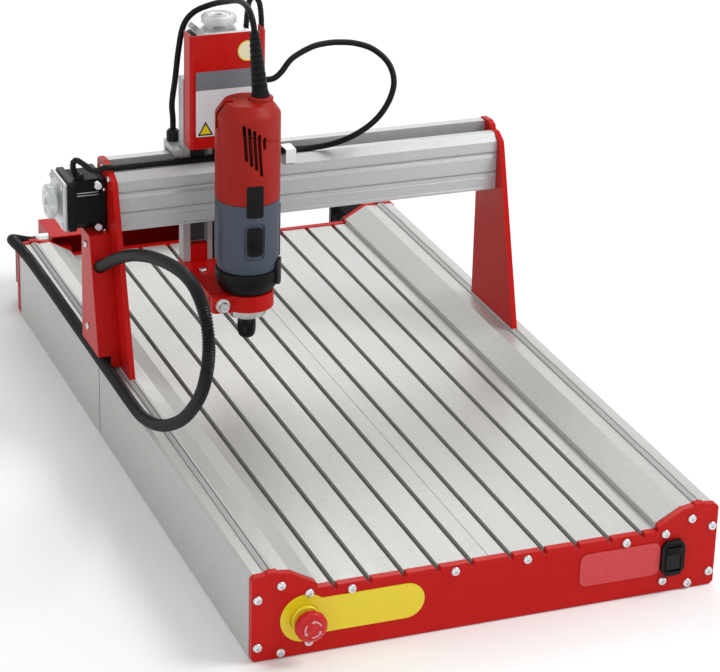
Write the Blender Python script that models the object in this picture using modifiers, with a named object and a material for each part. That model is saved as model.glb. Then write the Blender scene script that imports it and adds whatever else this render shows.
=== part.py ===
"""A desktop CNC router: an extruded base with a T-slot table, a gantry that runs
along it, a cross carriage, a Z column and a collar-mounted milling motor.

Metres, +X to the right, +Y to the back, +Z up. The origin is the middle of the
base's underside.
"""

import math

import bmesh
import bpy
from mathutils import Matrix, Vector

GAP = 0.0003

# Base
BASE_LENGTH = 0.880
BASE_HALF_WIDTH = 0.242
RAIL_HEIGHT = 0.089
TABLE_TOP = 0.068
TABLE_THICKNESS = 0.020
TABLE_HALF_WIDTH = 0.178
END_PLATE = 0.008
SLOT_PITCH = 0.035
SLOT_MOUTH = 0.0055
SLOTS_PER_TABLE = 5
SEAM_SLOT_GAP = 0.041
SLIT_LOW = 0.2192
SLIT_HIGH = 0.2278
DRIVE_X = 0.205
DRIVE_SCREW_Z = 0.045
DRIVE_ROD_X = 0.2125
DRIVE_ROD_Z = 0.022

# Gantry, at rest
BEAM_FRONT = 0.076
BEAM_BOTTOM = 0.238
BEAM_TOP = 0.3018
COLUMN_SLOT_FRONT = 0.0935
COLUMN_SLOT_BACK = 0.1125
BEAM_BACK = 0.130
PLATE_INNER = 0.2205
PLATE_THICKNESS = 0.006
CROSS_Y = 0.120
CROSS_SCREW_Z = 0.264
CROSS_ROD_Y = 0.1212
CROSS_ROD_Z = (0.248, 0.288)

# Tower and column
TOWER_X = -0.0975
COLUMN_FRONT = 0.095
COLUMN_BACK = 0.111
COLUMN_HALF = 0.0430
COLUMN_BOTTOM = 0.1858
COLUMN_TOP = 0.395
LIFT_Y = 0.105
COVER_FRONT = 0.072
COVER_HALF = 0.042
COVER_BOTTOM = 0.323
COVER_TOP = 0.449

# Milling motor
TOOL_Y = 0.0065
TOOL_RADIUS = 0.0346
NECK_RADIUS = 0.0215
CLAMP_BOTTOM = 0.1676
CLAMP_TOP = 0.1855

# Steppers and hand wheels
STEPPER_HALF = 0.0282
WHEEL_RADIUS = 0.019
SCREW_RADIUS = 0.004

# Panel controls
STOP_X, STOP_Z = -0.190, 0.039
SWITCH_X, SWITCH_Z = 0.1947, 0.0385

RED = ("red_powder_coat", (0.55, 0.010, 0.012), 0.38, 0.0)
ALUMINIUM = ("anodised_aluminium", (0.62, 0.62, 0.61), 0.38, 0.75)
STEEL = ("ground_steel", (0.66, 0.66, 0.66), 0.25, 1.0)
BLACK = ("black_paint", (0.012, 0.012, 0.014), 0.45, 0.0)
RUBBER = ("black_rubber", (0.010, 0.010, 0.010), 0.70, 0.0)
TOOL_RED = ("tool_red_plastic", (0.42, 0.020, 0.012), 0.40, 0.0)
TOOL_GREY = ("tool_grey_plastic", (0.085, 0.100, 0.125), 0.45, 0.0)
CLEAR = ("clear_plastic", (0.80, 0.82, 0.82), 0.12, 0.0)
BRASS = ("brass", (0.60, 0.42, 0.16), 0.35, 1.0)
STOP_RED = ("stop_red_plastic", (0.62, 0.020, 0.020), 0.35, 0.0)

PARTS = None
CUTTERS = None


def clear_scene():
    for obj in list(bpy.data.objects):
        bpy.data.objects.remove(obj, do_unlink=True)


def new_collection(name):
    collection = bpy.data.collections.new(name)
    bpy.context.scene.collection.children.link(collection)
    return collection


def material(finish):
    name, colour, roughness, metallic = finish
    found = bpy.data.materials.get(name)
    if found:
        return found
    made = bpy.data.materials.new(name)
    made.use_nodes = True
    shader = made.node_tree.nodes["Principled BSDF"]
    shader.inputs["Base Color"].default_value = (*colour, 1.0)
    shader.inputs["Roughness"].default_value = roughness
    shader.inputs["Metallic"].default_value = metallic
    return made


def keep(obj, name, finish):
    """Names the object, gives it its material and files it with the parts."""
    obj.name = name
    for collection in list(obj.users_collection):
        collection.objects.unlink(obj)
    PARTS.objects.link(obj)
    obj.data.materials.clear()
    obj.data.materials.append(material(finish))
    return obj


def cutter(obj):
    """Files the object as a cutter, which is no part of the machine."""
    for collection in list(obj.users_collection):
        collection.objects.unlink(obj)
    CUTTERS.objects.link(obj)
    obj.hide_render = True
    obj.display_type = "WIRE"
    return obj


def block(low, high):
    """A box between two corners, with its scale applied."""
    low, high = Vector(low), Vector(high)
    bpy.ops.mesh.primitive_cube_add(size=1)
    obj = bpy.context.object
    obj.data.transform(Matrix.Diagonal((*(high - low), 1)))
    obj.location = (low + high) / 2
    return obj


def bar(axis, start, end, across, radius, sides=24):
    """A cylinder along axis "X", "Y" or "Z" from start to end; across holds the other two coordinates."""
    bpy.ops.mesh.primitive_cylinder_add(radius=radius, depth=end - start, vertices=sides)
    obj = bpy.context.object
    middle = (start + end) / 2
    first, second = across
    if axis == "X":
        obj.rotation_euler = (0, math.pi / 2, 0)
        obj.location = (middle, first, second)
    elif axis == "Y":
        obj.rotation_euler = (math.pi / 2, 0, 0)
        obj.location = (first, middle, second)
    else:
        obj.location = (first, second, middle)
    return obj


TURNS = {
    "+X": (0, math.pi / 2, 0),
    "-X": (0, -math.pi / 2, 0),
    "+Y": (-math.pi / 2, 0, 0),
    "-Y": (math.pi / 2, 0, 0),
    "+Z": (0, 0, 0),
}


def turned(profile, axis, origin, steps=32, ring=False):
    """A profile of (radius, height) spun about its axis. It runs down the outer side, top to bottom."""
    data = bpy.data.meshes.new("profile")
    count = len(profile)
    edges = [(i, i + 1) for i in range(count - 1)]
    if ring:
        edges.append((count - 1, 0))
    data.from_pydata([(r, 0, h) for r, h in profile], edges, [])
    obj = bpy.data.objects.new("profile", data)
    bpy.context.scene.collection.objects.link(obj)
    spin = obj.modifiers.new("spin", "SCREW")
    spin.steps = steps
    spin.render_steps = steps
    spin.use_merge_vertices = True
    spin.merge_threshold = 0.00001
    obj.rotation_euler = TURNS[axis]
    obj.location = origin
    return obj


PLANES = {
    "XY": (0, 0, 0),
    "XZ": (math.pi / 2, 0, 0),
    "YZ": (math.pi / 2, 0, math.pi / 2),
}


def sheet(outlines, plane, low, high):
    """Closed outlines in a plane, the later ones holes, extruded across it from low to high."""
    curve = bpy.data.curves.new("outline", "CURVE")
    curve.dimensions = "2D"
    curve.fill_mode = "BOTH"
    curve.extrude = (high - low) / 2
    for outline in outlines:
        spline = curve.splines.new("POLY")
        spline.points.add(len(outline) - 1)
        for point, (u, v) in zip(spline.points, outline):
            point.co = (u, v, 0, 1)
        spline.use_cyclic_u = True
    obj = bpy.data.objects.new("outline", curve)
    bpy.context.scene.collection.objects.link(obj)
    obj.rotation_euler = PLANES[plane]
    middle = (low + high) / 2
    obj.location = {"XY": (0, 0, middle), "XZ": (0, middle, 0), "YZ": (middle, 0, 0)}[plane]
    return obj


def solid(obj):
    """A mesh copy of a curve or a modified object, with its seams welded, in world space."""
    bpy.context.view_layer.update()
    seen = obj.evaluated_get(bpy.context.evaluated_depsgraph_get())
    data = bpy.data.meshes.new_from_object(seen)
    data.transform(obj.matrix_world)
    made = bpy.data.objects.new("solid", data)
    bpy.context.scene.collection.objects.link(made)
    bpy.data.objects.remove(obj)
    body = bmesh.new()
    body.from_mesh(data)
    bmesh.ops.remove_doubles(body, verts=body.verts, dist=0.000002)
    bmesh.ops.recalc_face_normals(body, faces=body.faces)
    body.to_mesh(data)
    body.free()
    return made


def combine(target, other, operation):
    step = target.modifiers.new(operation.lower(), "BOOLEAN")
    step.operation = operation
    step.solver = "EXACT"
    step.object = cutter(other)
    return target


def cut(target, other):
    return combine(target, other, "DIFFERENCE")


def join(target, other):
    return combine(target, other, "UNION")


def rounded(obj, width, segments=1):
    edge = obj.modifiers.new("edges", "BEVEL")
    edge.width = width
    edge.segments = segments
    edge.limit_method = "ANGLE"
    return obj


def circle(u, v, radius, count=24):
    step = 2 * math.pi / count
    return [(u + radius * math.cos(i * step), v + radius * math.sin(i * step)) for i in range(count)]


def mirrored(outline, side):
    """The outline on the right side of the machine, or its mirror image on the left."""
    return [(side * u, v) for u, v in outline]


def curve_through(points, spacing):
    """Points at about the given spacing on a smooth curve through the route's own points."""
    route = [Vector(p) for p in points]
    ends = [2 * route[0] - route[1], *route, 2 * route[-1] - route[-2]]
    found = [route[0]]
    for a, b, c, d in zip(ends, ends[1:], ends[2:], ends[3:]):
        count = max(1, round((c - b).length / spacing))
        for i in range(1, count + 1):
            t = i / count
            bend = (2 * a - 5 * b + 4 * c - d) * t * t + (3 * b - a - 3 * c + d) * t * t * t
            found.append((2 * b + (c - a) * t + bend) / 2)
    return found


def cable(points, diameter, spacing):
    curve = bpy.data.curves.new("route", "CURVE")
    curve.dimensions = "3D"
    curve.bevel_depth = diameter / 2
    curve.bevel_resolution = 2
    curve.use_fill_caps = True
    route = curve_through(points, spacing)
    spline = curve.splines.new("POLY")
    spline.points.add(len(route) - 1)
    for point, place in zip(spline.points, route):
        point.co = (*place, 1)
    obj = bpy.data.objects.new("route", curve)
    bpy.context.scene.collection.objects.link(obj)
    return obj


# ---------------------------------------------------------------- base


def rail_outline():
    """Section of the right side rail: a channel whose top slit lets the gantry's side plate through."""
    outer, wall, top = BASE_HALF_WIDTH, 0.0035, RAIL_HEIGHT
    return [
        (outer, 0),
        (outer, top - 0.003),
        (outer - 0.003, top),
        (SLIT_HIGH, top),
        (SLIT_HIGH, top - wall),
        (outer - wall, top - wall),
        (outer - wall, wall),
        (0.186, wall),
        (0.186, 0.0745),
        (0.204, 0.0852),
        (SLIT_LOW, top - wall),
        (SLIT_LOW, top),
        (0.204, top),
        (0.180, 0.0755),
        (TABLE_HALF_WIDTH + GAP, 0.0745),
        (TABLE_HALF_WIDTH + GAP, 0.0477),
        (0.160, 0.0477),
        (0.160, 0.0437),
        (0.182, 0.0437),
        (0.182, 0),
    ]


def base_rails():
    end = BASE_LENGTH / 2 - END_PLATE - GAP
    for side, name in ((-1, "left_base_rail"), (1, "right_base_rail")):
        rail = solid(sheet([mirrored(rail_outline(), side)], "XZ", -end, end))
        keep(rail, name, ALUMINIUM)
        inner, outer = sorted((side * 0.170, side * 0.214))
        cut(rail, block((inner, -end - 0.01, 0.012), (outer, -end + 0.040, 0.064)))


def table_outline(side):
    """Section of one table extrusion with its T-slots, from the seam outwards."""
    top, bottom = TABLE_TOP, TABLE_TOP - TABLE_THICKNESS
    mouth, pocket, lip, floor = SLOT_MOUTH / 2, 0.006, 0.004, 0.010
    outline = [(GAP, bottom), (GAP, top)]
    for i in range(SLOTS_PER_TABLE):
        x = SEAM_SLOT_GAP / 2 + i * SLOT_PITCH
        outline += [
            (x - mouth, top),
            (x - mouth, top - lip),
            (x - pocket, top - lip),
            (x - pocket, top - floor),
            (x + pocket, top - floor),
            (x + pocket, top - lip),
            (x + mouth, top - lip),
            (x + mouth, top),
        ]
    outline += [(TABLE_HALF_WIDTH, top), (TABLE_HALF_WIDTH, bottom)]
    return mirrored(outline, side)


def tables():
    end = BASE_LENGTH / 2 - END_PLATE - GAP
    for side, name in ((-1, "left_table_profile"), (1, "right_table_profile")):
        keep(sheet([table_outline(side)], "XZ", -end, end), name, ALUMINIUM)


def end_plate_outline():
    """Outline of the front and rear plates, which follows the rails and the table."""
    right = [
        (0.178, 0.069),
        (0.178, 0.0735),
        (0.204, 0.0888),
        (0.2155, 0.0905),
        (0.2175, 0.0925),
        (0.2268, 0.0925),
        (0.2290, 0.0904),
        (0.2400, 0.0895),
        (0.2430, 0.0865),
        (0.2430, 0.0035),
        (0.2400, 0.0005),
    ]
    return right + [(-x, z) for x, z in reversed(right)]


def end_plates():
    half = BASE_LENGTH / 2
    stop_hole = circle(STOP_X, STOP_Z, 0.0084)
    wide, tall = 0.0104, 0.0164
    switch_hole = [
        (SWITCH_X - wide, SWITCH_Z - tall),
        (SWITCH_X + wide, SWITCH_Z - tall),
        (SWITCH_X + wide, SWITCH_Z + tall),
        (SWITCH_X - wide, SWITCH_Z + tall),
    ]
    front = sheet([end_plate_outline(), stop_hole, switch_hole], "XZ", -half, -half + END_PLATE)
    keep(front, "front_plate", RED)
    shafts = [circle(side * DRIVE_X, DRIVE_SCREW_Z, 0.006) for side in (-1, 1)]
    rear = sheet([end_plate_outline(), *shafts], "XZ", half - END_PLATE, half)
    keep(rear, "rear_plate", RED)


def base_floor():
    end = BASE_LENGTH / 2 - END_PLATE - GAP
    floor = block((-0.182 + GAP, -end, 0), (0.182 - GAP, end, 0.0035))
    keep(floor, "base_floor_plate", ALUMINIUM)


def drive_screws_and_rods():
    inside = BASE_LENGTH / 2 - END_PLATE
    for side, name in ((-1, "left"), (1, "right")):
        rod = bar("Y", -inside + GAP, inside - GAP, (side * DRIVE_ROD_X, DRIVE_ROD_Z), 0.005)
        keep(rod, name + "_y_guide_rod", STEEL)
        screw = bar("Y", -inside + 0.045, BASE_LENGTH / 2 + 0.020, (side * DRIVE_X, DRIVE_SCREW_Z), 0.005)
        keep(screw, name + "_y_screw", STEEL)


def y_motors():
    start = BASE_LENGTH / 2 + GAP
    for side, name in ((-1, "left_y_motor"), (1, "right_y_motor")):
        x, z = side * DRIVE_X, DRIVE_SCREW_Z
        low = (x - STEPPER_HALF, start, z - STEPPER_HALF)
        high = (x + STEPPER_HALF, start + 0.048, z + STEPPER_HALF)
        motor = rounded(block(low, high), 0.003)
        cut(motor, bar("Y", start - 0.01, start + 0.024, (x, z), 0.0056))
        keep(motor, name, BLACK)


def rear_control_box():
    """Folded sheet cover behind the rear plate, open towards it, with a shelf over the left motor."""
    start, back, top = BASE_LENGTH / 2 + GAP, BASE_LENGTH / 2 + 0.062, 0.0915
    wall, shelf_x, main_x, right = 0.0015, -0.200, -0.1762, -0.025
    shelf_z, floor_z = 0.0738, 0.018
    outline = [(right, floor_z), (right, top), (shelf_x, top), (shelf_x, shelf_z), (main_x, shelf_z)]
    inner = [
        (right - wall, floor_z + wall),
        (right - wall, top - wall),
        (shelf_x + wall, top - wall),
        (shelf_x + wall, shelf_z + wall),
        (main_x + wall, shelf_z + wall),
        (main_x + wall, floor_z + wall),
    ]
    box = solid(sheet([outline + [(main_x, floor_z)]], "XZ", start, back))
    cut(box, solid(sheet([inner], "XZ", start - 0.01, back - wall)))
    gland_y, gland_z = BASE_LENGTH / 2 + 0.015, 0.0827
    cut(box, bar("X", shelf_x - 0.01, shelf_x + 0.01, (gland_y, gland_z), 0.0066))
    keep(box, "rear_control_box", RED)
    profile = [(0.0066, 0.016), (0.0078, 0.016), (0.0086, 0.013), (0.0086, 0), (0.0066, 0)]
    gland = turned(profile, "-X", (shelf_x - GAP, gland_y, gland_z), 24, ring=True)
    keep(gland, "rear_conduit_gland", STEEL)


def power_inlet():
    start = BASE_LENGTH / 2 + GAP
    inlet = rounded(block((0.050, start, 0.022), (0.098, start + 0.022, 0.050)), 0.0015)
    cut(inlet, block((0.059, start + 0.008, 0.028), (0.089, start + 0.030, 0.044)))
    keep(inlet, "power_inlet", BLACK)


# ---------------------------------------------------------------- panel controls


def stop_switch():
    face = -BASE_LENGTH / 2
    collar = 0.006
    outer = [
        (0.0135, 0.0457),
        (0.0145, 0.0447),
        (0.0145, 0.0403),
        (0.0080, 0.0403),
        (0.0080, 0.0317),
        (0.0130, 0.0317),
        (0.0130, 0),
        (0, 0),
    ]
    bore = [(0, 0.0317), (0.0060, 0.0317), (0.0060, 0.0457)]
    origin = (STOP_X, face + 0.040, STOP_Z)
    housing = turned(bore + outer, "-Y", origin, 32)
    keep(housing, "estop_housing", BLACK)
    head = [
        (0, 0.0130),
        (0.0080, 0.0126),
        (0.0130, 0.0108),
        (0.0158, 0.0072),
        (0.0160, 0.0040),
        (0.0135, 0),
        (0.0055, 0),
        (0.0055, -0.0100),
        (0, -0.0100),
    ]
    button = turned(head, "-Y", (STOP_X, face - collar - 0.006, STOP_Z), 32)
    keep(button, "estop_button", STOP_RED)


def oblong(half_width, half_height, corner):
    """Eight-sided outline about the power switch's middle."""
    w, h, c = half_width, half_height, corner
    right = [(w, -h + c), (w, h - c), (w - c * 0.7, h)]
    left = [(-w + c * 0.7, h), (-w, h - c), (-w, -h + c)]
    bottom = [(-w + c * 0.7, -h), (w - c * 0.7, -h)]
    return [(SWITCH_X + u, SWITCH_Z + v) for u, v in right + left + bottom]


def power_switch():
    face = -BASE_LENGTH / 2
    bezel = solid(sheet([oblong(0.0125, 0.0193, 0.007)], "XZ", face - 0.0045, face - GAP))
    body = block(
        (SWITCH_X - 0.010, face - 0.002, SWITCH_Z - 0.016),
        (SWITCH_X + 0.010, face + 0.026, SWITCH_Z + 0.016),
    )
    join(bezel, body)
    pocket = block(
        (SWITCH_X - 0.0078, face - 0.010, SWITCH_Z - 0.0140),
        (SWITCH_X + 0.0078, face + 0.010, SWITCH_Z + 0.0140),
    )
    cut(bezel, pocket)
    keep(bezel, "power_switch_frame", BLACK)
    high, low = SWITCH_Z + 0.0120, SWITCH_Z - 0.0120
    outline = [
        (face - 0.0068, high),
        (face - 0.0048, SWITCH_Z),
        (face - 0.0052, low),
        (face - 0.0010, low),
        (face + 0.0060, SWITCH_Z - 0.004),
        (face + 0.0060, SWITCH_Z + 0.004),
        (face - 0.0010, high),
    ]
    rocker = sheet([outline], "YZ", SWITCH_X - 0.0072, SWITCH_X + 0.0072)
    keep(rocker, "power_rocker", BLACK)


# ---------------------------------------------------------------- gantry


def side_plate_outline():
    """Outline of a gantry side plate: it leans forward to its foot and follows the beam at the top."""
    back = BEAM_BACK
    return [
        (0.010, 0.012),
        (back - 0.002, 0.012),
        (back, 0.030),
        (back, 0.3020),
        (back - 0.006, 0.3080),
        (0.106, 0.3098),
        (0.097, 0.3070),
        (0.0945, 0.3026),
        (0.086, 0.3026),
        (0.072, 0.2955),
        (0.070, 0.2900),
        (0.012, 0.0900),
        (0.010, 0.0800),
    ]


def side_plates():
    outer = PLATE_INNER + PLATE_THICKNESS
    screw_hole = circle(CROSS_Y, CROSS_SCREW_Z, 0.0052)
    left = sheet([side_plate_outline(), screw_hole], "YZ", -outer, -PLATE_INNER)
    keep(left, "left_side_plate", RED)
    right = sheet([side_plate_outline()], "YZ", PLATE_INNER, outer)
    keep(right, "right_side_plate", RED)


def beam():
    end = PLATE_INNER - GAP
    front = [
        (BEAM_FRONT, BEAM_BOTTOM),
        (COLUMN_SLOT_FRONT, BEAM_BOTTOM),
        (COLUMN_SLOT_FRONT, BEAM_TOP),
        (BEAM_FRONT + 0.0095, BEAM_TOP),
        (BEAM_FRONT, 0.294),
    ]
    for z in (0.283, 0.260):
        front += [
            (BEAM_FRONT, z),
            (BEAM_FRONT + 0.0018, z - 0.0004),
            (BEAM_FRONT + 0.0018, z - 0.0020),
            (BEAM_FRONT, z - 0.0024),
        ]
    keep(sheet([front], "YZ", -end, end), "beam_front_profile", ALUMINIUM)
    slot, wall = COLUMN_SLOT_BACK, 0.0025
    back = [
        (slot, BEAM_BOTTOM),
        (BEAM_BACK, BEAM_BOTTOM),
        (BEAM_BACK, BEAM_BOTTOM + 0.004),
        (slot + wall, BEAM_BOTTOM + 0.004),
        (slot + wall, 0.3012),
        (BEAM_BACK, 0.3012),
        (BEAM_BACK, 0.3030),
        (BEAM_BACK - 0.006, 0.3068),
        (slot, 0.3068),
    ]
    keep(sheet([back], "YZ", -end, end), "beam_rear_profile", ALUMINIUM)


def cross_rods():
    end = PLATE_INNER - 2 * GAP
    for z, name in zip(CROSS_ROD_Z, ("lower", "upper")):
        keep(bar("X", -end, end, (CROSS_ROD_Y, z), 0.004), "x_guide_rod_" + name, STEEL)


def y_carriages():
    for side, name in ((-1, "left_y_carriage"), (1, "right_y_carriage")):
        inner, outer = sorted((side * 0.190, side * (PLATE_INNER - GAP)))
        carriage = block((inner, 0.016, 0.014), (outer, 0.124, 0.070))
        cut(carriage, bar("Y", 0, 0.14, (side * DRIVE_ROD_X, DRIVE_ROD_Z), 0.0054))
        cut(carriage, bar("Y", 0, 0.14, (side * DRIVE_X, DRIVE_SCREW_Z), 0.0055))
        keep(carriage, name, ALUMINIUM)


def cover_outline(inset, drop):
    """Side view of the left drive cover, drawn in by its wall and dropped through its open foot."""
    return [
        (0.0495 + inset - 0.226 * drop, 0.0920 - drop),
        (0.1170 - inset, 0.0920 - drop),
        (0.1130 - inset, 0.2340 - inset),
        (0.0816 + inset, 0.2340 - inset),
    ]


CONDUIT_X = -0.2405


def left_drive_cover():
    inner_face = -PLATE_INNER - PLATE_THICKNESS - GAP
    outer_face = -0.250
    cover = solid(sheet([cover_outline(0, 0)], "YZ", outer_face, inner_face))
    hollow = solid(sheet([cover_outline(0.002, 0.010)], "YZ", outer_face + 0.002, inner_face + 0.01))
    cut(cover, hollow)
    cut(cover, block((-0.2600, 0.030, 0.080), (-0.2360, 0.140, 0.1045)))
    cut(cover, bar("Y", 0.050, 0.095, (CONDUIT_X, 0.2010), 0.0072))
    keep(cover, "left_drive_cover", RED)


def wheel_profile():
    """Hand wheel with a bore for its screw."""
    bore, hub = 0.0043, 0.0075
    return [
        (bore, 0.0120),
        (WHEEL_RADIUS - 0.0015, 0.0120),
        (WHEEL_RADIUS, 0.0105),
        (WHEEL_RADIUS, 0.0045),
        (WHEEL_RADIUS - 0.0015, 0.0030),
        (hub, 0.0030),
        (hub, 0),
        (bore, 0),
    ]


def x_drive():
    face = -PLATE_INNER - PLATE_THICKNESS - GAP
    body_end = -0.2685
    y, z, half = CROSS_Y, CROSS_SCREW_Z, STEPPER_HALF
    motor = rounded(block((body_end, y - half, z - half), (face, y + half, z + half)), 0.003)
    cut(motor, bar("X", body_end - 0.01, face + 0.01, (y, z), 0.0048))
    keep(motor, "x_motor_body", BLACK)
    cap_start, cap_end = body_end - 0.006, body_end - GAP
    cap = rounded(
        block((cap_start, y - half + 0.001, z - half + 0.001), (cap_end, y + half - 0.001, z + half - 0.001)),
        0.002,
    )
    cut(cap, bar("X", cap_start - 0.01, cap_end + 0.01, (y, z), 0.0048))
    keep(cap, "x_motor_end_cap", ALUMINIUM)
    screw = bar("X", cap_start - 0.010, PLATE_INNER - 2 * GAP, (y, z), SCREW_RADIUS)
    keep(screw, "x_screw", STEEL)
    wheel = turned(wheel_profile(), "-X", (cap_start - GAP, y, z), 32, ring=True)
    keep(wheel, "x_handwheel", CLEAR)


def cable_clip():
    outline = [
        (0.0742, 0.2955),
        (0.0757, 0.2955),
        (0.0757, 0.3098),
        (0.0936, 0.3098),
        (0.0936, 0.3112),
        (0.0742, 0.3112),
    ]
    keep(sheet([outline], "YZ", -0.0305, -0.0190), "cable_clip", STEEL)


# ---------------------------------------------------------------- cross carriage


TOOL_GLAND = (-0.1415, 0.1285)


def x_carriage():
    """Block behind the beam on its rods, with a bridge over the beam that holds the lift nut."""
    half = 0.052
    left, right = TOWER_X - half, TOWER_X + half
    body = block((left, 0.1156, 0.2430), (right, 0.1370, 0.3006))
    bridge_back = block((left, 0.1306, 0.2900), (right, 0.1370, 0.3160))
    join(body, bridge_back)
    join(body, block((left, 0.1120, 0.3090), (right, 0.1360, 0.3160)))
    for side in (-1, 1):
        inner, outer = sorted((TOWER_X + side * (COLUMN_HALF + 0.0006), TOWER_X + side * half))
        join(body, block((inner, 0.0945, 0.3090), (outer, 0.1300, 0.3160)))
    for z in CROSS_ROD_Z:
        cut(body, bar("X", left - 0.01, right + 0.01, (CROSS_ROD_Y, z), 0.0044))
    cut(body, bar("X", left - 0.01, right + 0.01, (CROSS_Y, CROSS_SCREW_Z), 0.0045))
    keep(body, "x_carriage_block", ALUMINIUM)
    nut = block((TOWER_X - 0.0072, 0.1000, 0.3163), (TOWER_X + 0.0072, 0.1240, 0.3300))
    cut(nut, bar("Z", 0.300, 0.340, (TOWER_X, LIFT_Y), 0.0045))
    keep(nut, "z_nut", BRASS)
    profile = [(0.0036, 0.0120), (0.0055, 0.0120), (0.0072, 0.0095), (0.0072, 0), (0.0036, 0)]
    gland = turned(profile, "+Z", (TOOL_GLAND[0], TOOL_GLAND[1], 0.3163), 20, ring=True)
    keep(gland, "tool_cable_gland", BLACK)


# ---------------------------------------------------------------- column and tower


def column_outline():
    """Section of the Z column: two front recesses, two shallow grooves and a back channel for the screw."""
    x, front, back = TOWER_X, COLUMN_FRONT, COLUMN_BACK
    half, recess, channel = COLUMN_HALF, 0.105, 0.0994
    right = [
        (half, back),
        (half, front),
        (0.035, front),
        (0.035, recess),
        (0.0155, recess),
        (0.0155, front),
        (0.0100, front),
        (0.0100, front + 0.0015),
        (0.0070, front + 0.0015),
        (0.0070, front),
    ]
    channel_right = [(0.0080, channel), (0.0080, back)]
    outline = right + [(-u, v) for u, v in reversed(right)]
    outline += [(-u, v) for u, v in reversed(channel_right)] + channel_right
    return [(x + u, v) for u, v in outline]


def z_column():
    keep(sheet([column_outline()], "XY", COLUMN_BOTTOM, COLUMN_TOP), "z_column", ALUMINIUM)


def z_drive():
    body_low, body_high = COLUMN_TOP + GAP, 0.438
    half = STEPPER_HALF
    motor = rounded(
        block((TOWER_X - half, LIFT_Y - half, body_low), (TOWER_X + half, LIFT_Y + half, body_high)), 0.003
    )
    cut(motor, bar("Z", body_low - 0.01, body_high + 0.01, (TOWER_X, LIFT_Y), 0.0048))
    keep(motor, "z_motor_body", BLACK)
    cap_low, cap_high = body_high + GAP, body_high + 0.010
    cap_half = half - 0.001
    low = (TOWER_X - cap_half, LIFT_Y - cap_half, cap_low)
    high = (TOWER_X + cap_half, LIFT_Y + cap_half, cap_high)
    cap = rounded(block(low, high), 0.004)
    cut(cap, bar("Z", cap_low - 0.01, cap_high + 0.01, (TOWER_X, LIFT_Y), 0.0048))
    keep(cap, "z_motor_end_cap", ALUMINIUM)
    keep(bar("Z", 0.200, cap_high + 0.010, (TOWER_X, LIFT_Y), SCREW_RADIUS), "z_screw", STEEL)
    wheel = turned(wheel_profile(), "+Z", (TOWER_X, LIFT_Y, cap_high + GAP), 32, ring=True)
    keep(wheel, "z_handwheel", CLEAR)


def tower_cover():
    """U-shaped sheet in front of the column, open at the top, the bottom and the back."""
    half, front, back = COVER_HALF, COVER_FRONT, COLUMN_FRONT - GAP
    wall, corner = 0.0015, 0.003
    outline = [
        (half, back),
        (half, front + corner),
        (half - corner, front),
        (-half + corner, front),
        (-half, front + corner),
        (-half, back),
        (-half + wall, back),
        (-half + wall, front + corner),
        (-half + corner, front + wall),
        (half - corner, front + wall),
        (half - wall, front + corner),
        (half - wall, back),
    ]
    placed = [(TOWER_X + u, v) for u, v in outline]
    keep(sheet([placed], "XY", COVER_BOTTOM, COVER_TOP), "tower_cover", RED)


# ---------------------------------------------------------------- milling motor


def arc(radius, start, end, count):
    """Points on a circle about the milling motor's axis, angles in degrees."""
    found = []
    for i in range(count + 1):
        angle = math.radians(start + (end - start) * i / count)
        found.append((TOWER_X + radius * math.cos(angle), TOOL_Y + radius * math.sin(angle)))
    return found


def spindle_bracket():
    """Split collar on a plate, with two tongues in the column's recesses."""
    left, right = TOWER_X - 0.044, TOWER_X + 0.044
    back = COLUMN_BACK
    outline = [(left, back), (left, TOOL_Y - 0.0053)]
    outline += arc(NECK_RADIUS + GAP, 194.1, -160.4, 28)
    outline += [(left, TOOL_Y - 0.0073), (left, TOOL_Y - 0.0160), (left + 0.003, TOOL_Y - 0.0190)]
    outline += arc(0.029, 220.9, 360.0, 14)
    outline += [(TOWER_X + 0.029, TOOL_Y + 0.020), (right, TOOL_Y + 0.050), (right, back)]
    bracket = solid(sheet([outline], "XY", CLAMP_BOTTOM, CLAMP_TOP))
    for side in (-1, 1):
        inner, outer = sorted((TOWER_X + side * 0.0158, TOWER_X + side * 0.0347))
        join(bracket, block((inner, COLUMN_FRONT + 0.0002, 0.175), (outer, 0.1046, 0.2050)))
    screw_x, screw_z = TOWER_X - 0.0335, (CLAMP_BOTTOM + CLAMP_TOP) / 2
    cut(bracket, bar("Y", -0.030, 0.022, (screw_x, screw_z), 0.0028, 16))
    keep(bracket, "spindle_bracket", RED)
    profile = [
        (0, 0.0085),
        (0.0050, 0.0085),
        (0.0055, 0.0075),
        (0.0055, 0.0018),
        (0.0080, 0.0018),
        (0.0080, GAP),
        (0.0025, GAP),
        (0.0025, -0.0300),
        (0, -0.0300),
    ]
    screw = turned(profile, "-Y", (screw_x, TOOL_Y - 0.0190, screw_z), 20)
    keep(screw, "clamp_screw", STEEL)


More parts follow.
